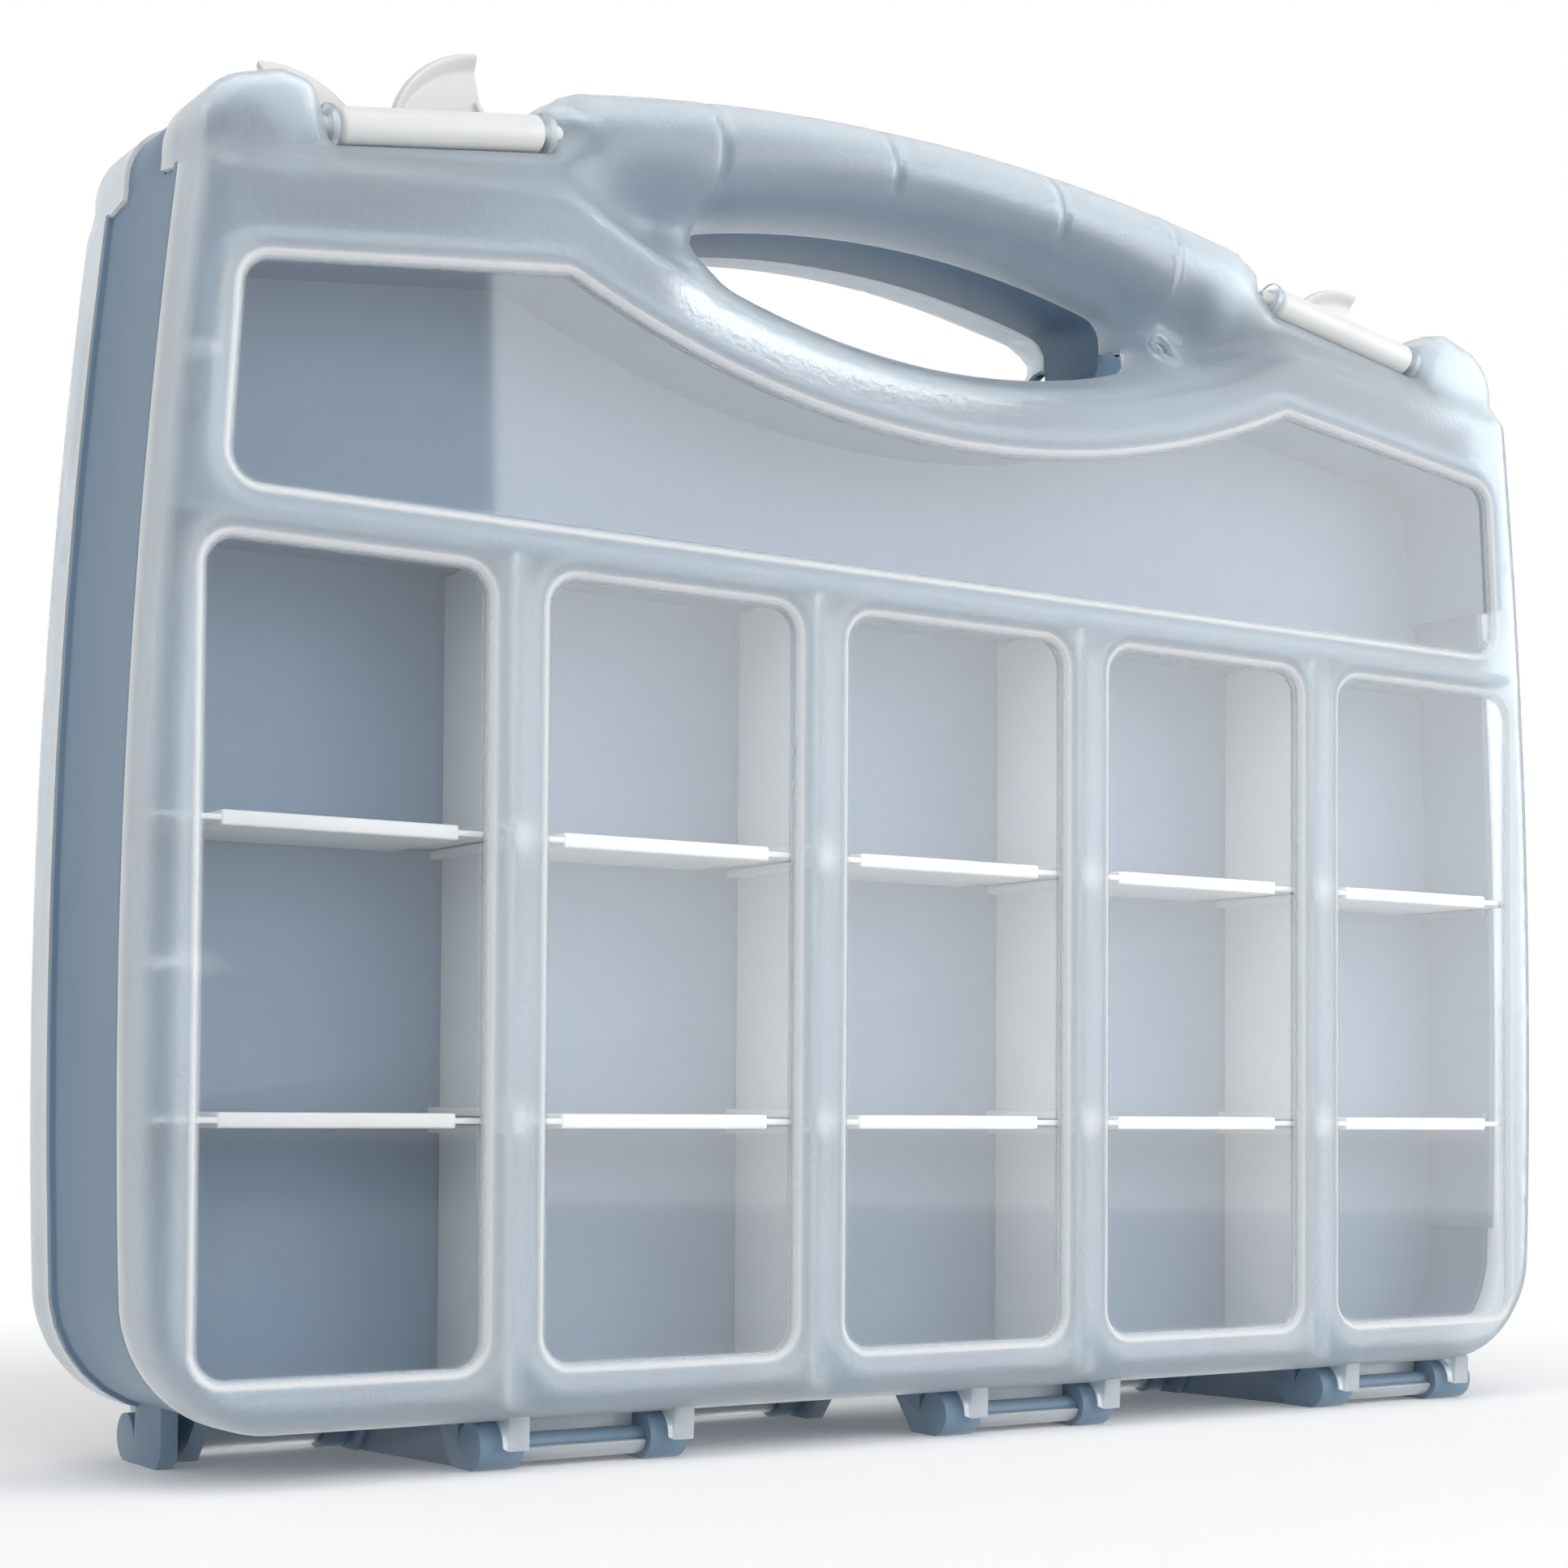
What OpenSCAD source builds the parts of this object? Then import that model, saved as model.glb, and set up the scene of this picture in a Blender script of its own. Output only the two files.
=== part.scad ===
// Double-sided small-parts organiser case: a moulded middle body that is open to the
// front and to the back, two clip-on lids with half a handle each, four latches and
// loose dividers. X runs across the case, Y from front to back, Z up.
// The origin is on the floor, below the middle of the case.

/* [Case] */
// Half of the widest width across the bulged sides
half_w = 209; // [205:0.5:214]
// Height of the widest place above the floor
widest_z = 100; // [80:1:120]
// Radius of the bulge of each side
side_r = 1600; // [1200:10:3000]
// Height of the case's bottom edge above the floor
bottom_z = 11.3; // [11:0.1:13]
// Radius of the bottom corners
corner_r = 30; // [24:1:36]
// Height of the top corner's lower end above the floor
shoulder_z = 288; // [284:1:292]
// Thickness of the whole case, lid face to lid face
case_t = 82; // [80:1:90]
// Depth of the middle body along the sides and the bottom
body_t = 45; // [40:1:50]
// Depth of the body's core at the shoulders and in the handle
core_t = 23; // [18:1:28]
// Thickness of the web between the front and the back half
web_t = 1.8; // [1.4:0.1:3]
// Wall of the middle body
body_wall = 2.2; // [1.8:0.1:3]
// Wall of the lids
lid_wall = 2; // [1.6:0.1:2.4]
// Wall of the lids' faces beside the windows
face_wall = 3; // [2.4:0.1:3.4]
// Gap between the rims of the lids and the body
rim_gap = 0.3; // [0.25:0.05:0.6]

/* [Compartments] */
// Distance between two rows of dividers
row_pitch = 64; // [56:0.5:68]
// Height of the partition under the top compartment
partition_z = 208; // [204:0.5:212]
// Depth to which walls and dividers stand in front of the mid-plane
divider_depth = 36; // [32:0.5:36.4]
// Thickness of a column divider
col_t = 1.8; // [1.4:0.1:2.4]
// Thickness of a row divider between its end tabs
row_t = 2.8; // [2:0.1:3.6]
// Thickness of a row divider's end tabs
tab_t = 1.4; // [1:0.1:2]
// Gap round a divider's tab in its slot
slot_gap = 0.3; // [0.2:0.05:0.5]

/* [Windows] */
// Width of the bands between the windows of two columns
band_w = 15; // [14:0.5:22]
// Height of the windows' bottom edge above the floor
win_z0 = 23.5; // [22:0.5:28]
// Height of the windows' top edge above the floor
win_z1 = 202; // [196:0.5:203]
// Corner radius of the windows
win_r = 7; // [4:0.5:12]
// Depth of the window panes below the lid's face
pane_d = 2.5; // [1.5:0.1:3.5]
// Radius of the dip over the top compartment
dip_r = 265; // [250:1:300]
// Height of the top window at its middle
dip_z = 247.5; // [244:0.5:250]

/* [Handle] */
// Height of the handle's top above the floor
handle_z = 330; // [328:0.5:334]
// Half of the handle's length
handle_half = 112; // [110:0.5:113]
// Radius of the handle's arch
arch_r = 564; // [500:1:700]
// Half of the width of the hand opening
grip_half = 67; // [62:0.5:70]
// Height of the hand opening's top edge at its middle
grip_z1 = 304; // [300:0.5:306]
// Height of the hand opening's bottom edge at its middle
grip_z0 = 269; // [268:0.5:274]
// Depth of the shoulders' front face below the lid's face
shoulder_d = 5; // [3:0.5:7]

/* [Latches] */
// Height of a latch's axis at its middle
latch_z = 301.5; // [300:0.5:303]
// Slope of the latches along the shoulders
latch_tilt = 9.5; // [8:0.5:11]
// Radius of a latch's barrel
barrel_r = 4.2; // [3.6:0.1:4.6]
// Radius of a latch's pivot stubs
stub_r = 2; // [1.5:0.1:2.5]
// Radial clearance of the stubs and of the hinge clips
fit_gap = 0.07; // [0.02:0.01:0.1]
// Height of a latch's finger tab above its axis
finger_h = 26; // [20:0.5:27]

/* [Hinges] */
// Radius of the hinge ears, which the case stands on
ear_r = 5.5; // [5.2:0.1:5.6]
// Radius of the hinge pins
pin_r = 2.35; // [2:0.05:2.8]
// Length of the pins between the ears
pin_l = 33; // [28:0.5:36]
// Distance of the hinge axes from the mid-plane
hinge_y = 28.5; // [27:0.5:30]
// Distance of the middle front hinge from the case's middle
hinge_shift = 28; // [20:1:34]

/* [Hidden] */
$fn = 48;
over = 1;
cols = 5;

front_y = -case_t / 2;
pane_y = front_y + pane_d;
shoulder_y = front_y + shoulder_d;
parting_y = -body_t / 2;
core_y = -core_t / 2;
step_z = shoulder_z - 3;
// The body's walls stand back from its own rim flange
rim_in = 1;
inner_bottom = bottom_z + rim_in + body_wall;
side_room = 4;
col_pitch = 2 * (half_w - side_room) / cols;
win_w = col_pitch - band_w;
row_z = [for (i = [1, 2]) inner_bottom + i * row_pitch];
col_x = [for (i = [1:cols - 1]) (i - cols / 2) * col_pitch];
hinge_pitch = half_w - 52 - hinge_shift;
// Middles of the three front hinge pins, from left to right
hinge_xs = [for (i = [-1:1]) hinge_shift + i * hinge_pitch];
// The latches fill the recesses between the handle and the case's top corners
recess_out = half_w - 42;
latch_room_in = 2.5;
latch_room_out = 1.5;
barrel_l = recess_out - handle_half - latch_room_in - latch_room_out;
latch_x = handle_half + latch_room_in + barrel_l / 2;
blue = [0.43, 0.53, 0.62];
frost = [0.78, 0.83, 0.87, 0.6];
white = [0.93, 0.94, 0.95];

// ---- Outlines, as points in the plane across the case ----

function arc(c, r, a0, a1, n) = [for (i = [0:n]) c + r * [cos(a0 + (a1 - a0) * i / n), sin(a0 + (a1 - a0) * i / n)]];
function backwards(pts) = [for (i = [len(pts) - 1:-1:0]) pts[i]];
function mirrored(pts) = [for (p = backwards(pts)) [-p[0], p[1]]];
function unit(v) = v / norm(v);
// Each corner moved inwards by d, for a closed anticlockwise outline
function inset(pts, d) = [
    for (i = [0:len(pts) - 1])
    let (
        a = unit(pts[i] - pts[(i + len(pts) - 1) % len(pts)]),
        b = unit(pts[(i + 1) % len(pts)] - pts[i]),
        n = unit([-a[1] - b[1], a[0] + b[0]])
    )
    pts[i] + n * d / max(0.5, n * [-a[1], a[0]])
];

function side_x(z) = half_w - side_r + sqrt(side_r * side_r - (z - widest_z) * (z - widest_z));
function arch_top(x) = handle_z - arch_r + sqrt(arch_r * arch_r - x * x);
function latch_line(x) = latch_z - (x - latch_x) * tan(latch_tilt);

shoulder_r = 15;
recess_drop = (barrel_r + 0.4) / cos(latch_tilt);
handle_r = 9;
side_x0 = side_x(bottom_z + corner_r);

ridge_z = shoulder_z - 5;
// From this far out on the bottom edge, each half of an outline can be seen whole
fan_x = (recess_out + 2 * handle_half) / 4 - 8;

// The side up to the ridge, shared by the case's outline and the lid's raised face
low_side = concat(
    [[fan_x, bottom_z]],
    arc([side_x0 - corner_r, bottom_z + corner_r], corner_r, -90, -6, 7),
    [for (i = [1:8]) let (z = bottom_z + corner_r + (ridge_z - bottom_z - corner_r) * i / 8) [side_x(z), z]]
);
right_side = concat(
    low_side,
    [[side_x(shoulder_z), shoulder_z]],
    arc([side_x(shoulder_z) - shoulder_r, shoulder_z + 2], shoulder_r, 0, 65, 5),
    [[recess_out + 11, shoulder_z + 18.5], [recess_out + 6.5, shoulder_z + 17], [recess_out + 3, shoulder_z + 13]]
);
right_top = concat(
    [[recess_out, latch_line(recess_out) - recess_drop]],
    [[handle_half, latch_line(handle_half) - recess_drop]],
    arc([handle_half - handle_r, arch_top(handle_half) - handle_r], handle_r, 0, 75, 4),
    [for (i = [4:-1:0]) let (x = (handle_half - handle_r) * i / 5) [x, arch_top(x)]]
);
right_half = concat(right_side, right_top);
left_half = mirrored([for (i = [0:len(right_half) - 2]) right_half[i]]);
case_outline = concat(right_half, left_half);

// The lid's raised face ends at a soft ridge below the handle and the latches
peak_x = handle_half - 1;
ridge_peak = [peak_x, shoulder_z + 3.5];
ridge_c = [0, dip_z + dip_r];
ridge_r = norm(ridge_peak - ridge_c);
ridge_a = atan2(ridge_peak[1] - ridge_c[1], ridge_peak[0] - ridge_c[0]);
ridge_right = concat(
    low_side,
    [ridge_peak],
    arc(ridge_c, ridge_r, ridge_a - 3, -90, 8)
);
ridge_left = mirrored([for (i = [0:len(ridge_right) - 2]) ridge_right[i]]);
ridge_outline = concat(ridge_right, ridge_left);

// The top window: level bottom, leaning shoulders and a dip below the hand opening
top_win_x = half_w - 16.5;
top_win_z = shoulder_z - 26;
dip_c = [0, dip_z + dip_r];
dip_a = asin(peak_x / dip_r);
module top_window() offset(r = win_r) offset(delta = -win_r)
    polygon(concat(
        [[-top_win_x, partition_z + 5.5], [top_win_x, partition_z + 5.5], [top_win_x - 3, top_win_z]],
        arc(dip_c, dip_r, dip_a - 90, -dip_a - 90, 16),
        [[-top_win_x + 3, top_win_z]]
    ));
module column_window() translate([-win_w / 2 + win_r, win_z0 + win_r])
    offset(r = win_r) square([win_w - 2 * win_r, win_z1 - win_z0 - 2 * win_r]);
module windows() {
    top_window();
    for (i = [0:cols - 1])
        translate([(i - (cols - 1) / 2) * col_pitch, 0]) column_window();
}

grip_arc_r = 275;
grip_low_r = 210;
grip_corner = 7;
module grip_hole() offset(r = grip_corner) offset(delta = -grip_corner)
    intersection() {
        translate([0, grip_z1 - grip_arc_r]) circle(grip_arc_r, $fn = 180);
        difference() {
            translate([-grip_half, grip_z0]) square([2 * grip_half, grip_z1 - grip_z0]);
            intersection() {
                translate([0, grip_z0 - over]) square([4 * grip_half, 40], center = true);
                difference() {
                    translate([0, grip_z0 - 2]) square([4 * grip_half, 60], center = true);
                    translate([0, grip_z0 + grip_low_r]) circle(grip_low_r, $fn = 180);
                }
            }
        }
    }

// ---- Helpers ----

// An outline across the case, made solid from depth y0 to depth y1
module slab(y0, y1) translate([0, y1, 0]) rotate([90, 0, 0]) linear_extrude(y1 - y0) children();
// A profile in the Y-Z plane, made solid from x0 to x1
module bar(x0, x1) translate([x0, 0, 0]) rotate([90, 0, 90]) linear_extrude(x1 - x0) children();
module rod(x0, x1, y, z, r) translate([x0, y, z]) rotate([0, 90, 0]) cylinder(r = r, h = x1 - x0);
module box(lo, hi) translate(lo) cube(hi - lo);
module turned() rotate([0, 0, 180]) children();
module both_sides() {
    children();
    turned() children();
}

// The faces of a loft's end: a fan from the first and the last point, and a triangle between
function end_faces(n) = let (m = (n - 1) / 2)
    [[for (i = [0:m]) i], concat([2 * m], [for (i = [m:2 * m - 1]) i]), [0, m, 2 * m]];
function flipped(face) = concat([face[0]], [for (i = [len(face) - 1:-1:1]) face[i]]);

// A loft through insets of one outline: steps are [depth, inset], back to front
module loft(outline, steps) {
    n = len(outline);
    pts = [for (s = steps) for (p = inset(outline, s[1])) [p[0], s[0], p[1]]];
    polyhedron(pts, concat(
        end_faces(n),
        [for (k = [0:len(steps) - 2], i = [0:n - 1])
            let (j = (i + 1) % n) [k * n + j, k * n + i, (k + 1) * n + i, (k + 1) * n + j]],
        [for (face = end_faces(n)) [for (i = flipped(face)) (len(steps) - 1) * n + i]]
    ), convexity = 8);
}

edge_r = 5;
shoulder_edge_r = 3;
// The steps of a loft with a rounded front edge, moved in by w at the sides and by t at the face
function skin(y_back, y_front, w, t, r) = [
    [y_back, w],
    [y_front + r + t, w],
    [y_front + 0.3 * r + t, w + 0.3 * r],
    [y_front + t, w + r]
];

// ---- Lid ----

tongue_y = ear_r + 0.3;
clip_r = pin_r + fit_gap;
clip_wall = 1.8;
knuckle_l = 6;
ear_w = 5;
inner_ear_w = 4;

module lid_outside() {
    loft(case_outline, skin(core_y - rim_gap, shoulder_y, 0, 0, shoulder_edge_r));
    loft(ridge_outline, skin(parting_y - rim_gap, front_y, 0, 0, edge_r));
}

module lid_inside() {
    loft(case_outline, skin(core_y + over, shoulder_y, lid_wall, lid_wall, shoulder_edge_r));
    loft(ridge_outline, skin(parting_y + over, front_y, lid_wall, face_wall, edge_r));
}

// The lid's part of one hinge: a plate and a clip round the pin, and two tongues
module lid_hinge(x) {
    x0 = x - pin_l / 2 + rim_gap;
    x1 = x + pin_l / 2 - rim_gap;
    top = bottom_z + lid_wall / 2;
    difference() {
        union() {
            rod(x0, x1, -hinge_y, ear_r, clip_r + clip_wall);
            box([x0, -hinge_y + clip_r, ear_r], [x1, -hinge_y + clip_r + clip_wall, top]);
        }
        rod(x0 - over, x1 + over, -hinge_y, ear_r, clip_r);
        box([x0 - over, -hinge_y - 10, ear_r - 0.8 * pin_r], [x1 + over, -hinge_y, top]);
        box([x0 - over, -hinge_y - 1, ear_r], [x1 + over, -hinge_y + clip_r - 0.6, top]);
    }
    for (k = [x - pin_l / 2 - knuckle_l, x + pin_l / 2 + inner_ear_w])
        difference() {
            box([k + rim_gap, -hinge_y - tongue_y - 3.5, ear_r - 1], [k + knuckle_l - rim_gap, -hinge_y - 1, top]);
            rod(k - over, k + knuckle_l + over, -hinge_y, ear_r, tongue_y);
        }
}

boss_l = 9;
module latch_pose(side) translate([side * latch_x, latch_y, latch_z]) rotate([0, side * latch_tilt, 0]) children();
latch_y = -30;
stub_l = 6;

module stub_bosses(r, gap) for (side = [-1, 1]) latch_pose(side)
    for (end = [-1, 1]) translate([end * (barrel_l / 2 + gap), 0, 0]) rotate([0, end * 90, 0])
        cylinder(r = r, h = boss_l);

screw_x = grip_half + 9;
screw_z = 287;
screw_r = 2.1;
// Shallow grooves across the front of the grip
groove_w = 1.2;
groove_d = 0.5;
module grip_grooves() for (x = [-grip_half, -0.24 * grip_half, 0.55 * grip_half])
    box([x - groove_w / 2, shoulder_y - over, grip_z1 - 8], [x + groove_w / 2, shoulder_y + groove_d, handle_z]);

module lid() color(frost) difference() {
    union() {
        difference() {
            lid_outside();
            difference() {
                lid_inside();
                slab(front_y - over, over) offset(delta = lid_wall) grip_hole();
                slab(front_y - over, pane_y + lid_wall) offset(delta = lid_wall) windows();
                stub_bosses(barrel_r + 0.8, 1);
                slab(front_y - over, shoulder_y + 9) translate([screw_x, screw_z]) circle(screw_r + 3);
            }
            box([-half_w - over, parting_y - rim_gap, 0], [half_w + over, 0, step_z + rim_gap]);
        }
        for (x = hinge_xs) lid_hinge(x);
    }
    slab(front_y - over, over) grip_hole();
    slab(front_y - over, pane_y) windows();
    stub_bosses(stub_r + fit_gap, -over);
    slab(front_y - over, over) translate([screw_x, screw_z]) circle(screw_r);
    grip_grooves();
}

// ---- Middle body ----

module ring(inset_out, t) difference() {
    polygon(inset(case_outline, inset_out));
    polygon(inset(case_outline, inset_out + t));
}
module below(z) intersection() {
    children();
    translate([-half_w - over, 0]) square([2 * half_w + 2 * over, z]);
}

roof_gap = 5;
module roof_wall() intersection() {
    difference() {
        offset(delta = roof_gap + body_wall) top_window();
        offset(delta = roof_gap) top_window();
    }
    translate([-half_w, partition_z + 20]) square([2 * half_w, handle_z - partition_z]);
}
module hinge_profile() {
    translate([-hinge_y, ear_r]) circle(ear_r);
    polygon([
        [-hinge_y, 0], [-hinge_y + 9, 0], [parting_y + 14, bottom_z + 2],
        [parting_y + 0.4, bottom_z + 2], [-hinge_y + ear_r, ear_r]
    ]);
}

// The body's part of one hinge: ears, a pin between them and a knuckle beside each
module body_hinge(x) {
    x0 = x - pin_l / 2;
    x1 = x + pin_l / 2;
    bar(x0 - knuckle_l - ear_w, x0 - knuckle_l) hinge_profile();
    bar(x1, x1 + inner_ear_w) hinge_profile();
    rod(x0 - knuckle_l, x0, -hinge_y, ear_r, ear_r);
    rod(x1 + inner_ear_w, x1 + inner_ear_w + knuckle_l, -hinge_y, ear_r, ear_r);
    rod(x0 - over, x1 + over, -hinge_y, ear_r, pin_r);
}

fin_t = 2.4;
foot_t = 4;
foot_r = 3;
// A thin fin below the body, from a front hinge to the rear hinge opposite
module fin() {
    a = [-hinge_xs[2] + pin_l / 2 + knuckle_l + ear_w / 2, -parting_y - 1];
    b = [hinge_xs[0] - pin_l / 2 - knuckle_l - ear_w / 2, parting_y + 1];
    linear_extrude(bottom_z + rim_in + 1) polygon([
        [a[0] - fin_t / 2, a[1]], [b[0] - fin_t / 2, b[1]], [b[0] + fin_t / 2, b[1]], [a[0] + fin_t / 2, a[1]]
    ]);
}
module foot() {
    x0 = hinge_xs[2] + pin_l / 2 + inner_ear_w + knuckle_l;
    bar(x0, x0 + foot_t) {
        translate([-hinge_y, ear_r]) circle(ear_r);
        polygon([[-hinge_y, 0], [-6 - foot_r, 0], [-6, foot_r], [-6, bottom_z + 3],
            [parting_y + 0.4, bottom_z + 3], [parting_y + 0.4, bottom_z], [-hinge_y + ear_r, ear_r]]);
    }
}

guide_w = 3.4;
guide_h = 6;
// Where the outer end of a row divider stops at the side wall
function wall_x(z) = side_x(z) - rim_in - body_wall;
// Guides on the side walls for the outer ends of the row dividers
module side_guides() for (s = [-1, 1], z = row_z)
    translate([s * (wall_x(z) - guide_w / 2 + 0.2), parting_y / 2 - 1, z])
        cube([guide_w, -parting_y + 2, guide_h], center = true);
module side_slots() for (s = [-1, 1], z = row_z)
    translate([s * (wall_x(z) - guide_w), -divider_depth / 2, z])
        cube([2 * guide_w, divider_depth - web_t, tab_t + 2 * slot_gap], center = true);

module body_walls() {
    slab(parting_y, 0) below(step_z) ring(rim_in, body_wall);
    slab(parting_y, parting_y + 2) below(step_z) ring(0, body_wall);
    slab(core_y, 0) ring(rim_in, body_wall);
    slab(core_y, 0) difference() {
        offset(delta = body_wall) grip_hole();
        grip_hole();
    }
    slab(parting_y - 3, 0) intersection() {
        ring(lid_wall + 0.4, body_wall);
        translate([-half_w, 48]) square([2 * half_w, step_z - 52]);
    }
    slab(-divider_depth, 0) intersection() {
        union() {
            roof_wall();
            translate([-half_w, partition_z - body_wall / 2]) square([2 * half_w, body_wall]);
        }
        inside_lip();
    }
    side_guides();
}
module half_body() {
    difference() {
        body_walls();
        side_slots();
    }
    for (x = hinge_xs) body_hinge(x);
    fin();
    foot();
}
module inside_lip() polygon(inset(case_outline, lid_wall + 1.4));

module case_body() color(blue) difference() {
    union() {
        both_sides() half_body();
        slab(-web_t / 2, web_t / 2) polygon(inset(case_outline, 2));
    }
    slab(-over - core_t, over + core_t) grip_hole();
}

// ---- Latches ----

nose = 29;
// The latch seen from its end: a plate back over the core, and the finger tab
module latch_plate() polygon([
    [0, barrel_r], [8, barrel_r - 0.9], [16, 0.6], [23, -1.6], [nose, -2],
    [nose, -barrel_r + 0.2], [0, -barrel_r + 0.2]
]);
module latch_finger() polygon([
    [19, -1.6], [22.2, 4], [23.6, 12], [24.2, 19], [22.6, finger_h - 2.4],
    [23.4, finger_h], [25.4, finger_h - 0.6], [26.6, 19],
    [26.2, 10], [25, 2], [24, -2.4]
]);
module finger_outline() intersection() {
    translate([barrel_l / 2 - 1, -over]) scale([(barrel_l / 2 + 1.8) / finger_h, 1.02]) circle(finger_h, $fn = 72);
    translate([-1.5, -3]) square([barrel_l / 2 + 0.5, finger_h + 5]);
}
module latch() color(white) {
    rod(-barrel_l / 2, barrel_l / 2, 0, 0, barrel_r);
    rod(-barrel_l / 2 - stub_l, barrel_l / 2 + stub_l, 0, 0, stub_r);
    bar(-barrel_l / 2, barrel_l / 2) latch_plate();
    intersection() {
        bar(-1.5, barrel_l / 2 - 1) latch_finger();
        slab(15, nose) finger_outline();
    }
    for (share = [0.35, 0.63, 0.9]) let (u = share * barrel_l / 2) bar(u, u + 1.2)
        polygon([[14, 0.6], [23, -1.7], [23.4, 0.42 * u + 4]]);
}

// ---- Dividers ----

tab_in = 2.4;
boss_w = 7;
boss_h = 6;
divider_gap = 0.3;
// The front of a column's lower edge rises, clear of the lid's edge as it swings
toe_rise = 0.7;
module column_outline() {
    low = inner_bottom + divider_gap;
    high = partition_z - body_wall / 2 - divider_gap;
    back = -web_t / 2 - divider_gap;
    polygon([[back, low], [back, high], [-divider_depth, high],
        [-divider_depth, low + toe_rise], [parting_y - 3, low + toe_rise], [parting_y, low]]);
}
module column_divider(x) color(white) difference() {
    union() {
        bar(x - col_t / 2, x + col_t / 2) column_outline();
        for (z = row_z)
            box([x - boss_w / 2, -divider_depth, z - boss_h / 2], [x + boss_w / 2, -web_t / 2 - divider_gap, z + boss_h / 2]);
    }
    for (z = row_z, s = [-1, 1])
        translate([x + s * boss_w / 2, -divider_depth / 2, z])
            cube([2 * (tab_in + slot_gap), divider_depth + 2 * over, tab_t + 2 * slot_gap], center = true);
}
module row_divider(column, z) color(white) {
    x = (column - (cols + 1) / 2) * col_pitch;
    half = col_pitch / 2 - boss_w / 2 + tab_in;
    front = -divider_depth + 0.5;
    back = -web_t / 2 - divider_gap;
    left = column == 1 ? slot_gap - wall_x(z) : x - half;
    right = column == cols ? wall_x(z) - slot_gap : x + half;
    box([left, front, z - tab_t / 2], [right, back, z + tab_t / 2]);
    box([x - half + 8, front, z - row_t / 2], [x + half - 8, back, z + row_t / 2]);
}

case_body();
lid();  // front_lid
turned() lid();  // rear_lid
latch_pose(-1) latch();  // front_left_latch
latch_pose(1) latch();  // front_right_latch
turned() latch_pose(1) latch();  // rear_left_latch
turned() latch_pose(-1) latch();  // rear_right_latch
column_divider(col_x[0]);  // front_column_1
column_divider(col_x[1]);  // front_column_2
column_divider(col_x[2]);  // front_column_3
column_divider(col_x[3]);  // front_column_4
turned() column_divider(col_x[0]);  // rear_column_1
turned() column_divider(col_x[1]);  // rear_column_2
turned() column_divider(col_x[2]);  // rear_column_3
turned() column_divider(col_x[3]);  // rear_column_4
row_divider(1, row_z[1]);  // front_upper_row_1
row_divider(2, row_z[1]);  // front_upper_row_2
row_divider(3, row_z[1]);  // front_upper_row_3
row_divider(4, row_z[1]);  // front_upper_row_4
row_divider(5, row_z[1]);  // front_upper_row_5
row_divider(1, row_z[0]);  // front_lower_row_1
row_divider(2, row_z[0]);  // front_lower_row_2
row_divider(3, row_z[0]);  // front_lower_row_3
row_divider(4, row_z[0]);  // front_lower_row_4
row_divider(5, row_z[0]);  // front_lower_row_5
turned() row_divider(1, row_z[0]);  // rear_lower_row_1
turned() row_divider(2, row_z[0]);  // rear_lower_row_2
turned() row_divider(3, row_z[0]);  // rear_lower_row_3
turned() row_divider(4, row_z[0]);  // rear_lower_row_4
turned() row_divider(5, row_z[0]);  // rear_lower_row_5
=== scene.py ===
import math

import bmesh
import bpy
import numpy as np
from bpy.props import FloatProperty, FloatVectorProperty, PointerProperty
from mathutils import Matrix, Vector
from mathutils.geometry import delaunay_2d_cdt


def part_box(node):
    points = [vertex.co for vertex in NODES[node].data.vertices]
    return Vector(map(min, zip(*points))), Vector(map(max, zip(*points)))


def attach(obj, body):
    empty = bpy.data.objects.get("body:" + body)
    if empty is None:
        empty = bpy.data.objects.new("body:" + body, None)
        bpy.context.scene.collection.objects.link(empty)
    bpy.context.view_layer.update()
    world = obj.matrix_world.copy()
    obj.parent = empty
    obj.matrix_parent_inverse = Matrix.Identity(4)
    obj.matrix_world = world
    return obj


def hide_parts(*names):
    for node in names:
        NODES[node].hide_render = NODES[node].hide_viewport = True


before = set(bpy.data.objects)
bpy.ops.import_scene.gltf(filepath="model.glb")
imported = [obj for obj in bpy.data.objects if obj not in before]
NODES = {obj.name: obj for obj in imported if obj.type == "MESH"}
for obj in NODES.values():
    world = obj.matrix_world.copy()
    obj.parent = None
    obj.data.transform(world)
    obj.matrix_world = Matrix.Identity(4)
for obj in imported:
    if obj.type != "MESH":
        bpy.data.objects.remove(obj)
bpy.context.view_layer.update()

bl_info = {
    "name": "Parts Organiser Case Looks",
    "version": (1, 0, 0),
    "blender": (4, 5, 0),
    "location": "3D View > Sidebar > Parts Case",
    "description": "Builds the moulded lids, latches, dividers and finishes of a double-sided parts case",
    "category": "Object",
}

MM = 0.001

# ---- Sizes that come from the frame ----

LID_LO, LID_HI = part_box("front_lid")
HALF_W = LID_HI[0]
FACE_Y = LID_LO[1]
RIM_TOP_Y = LID_HI[1] if LID_HI[1] < 0 else -11.8 * MM
HANDLE_Z = LID_HI[2]
COLUMN_PITCH = (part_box("front_column_4")[0][0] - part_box("front_column_1")[0][0]) / 3
COLUMNS = 5

# ---- The lid's outline and openings ----

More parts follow.
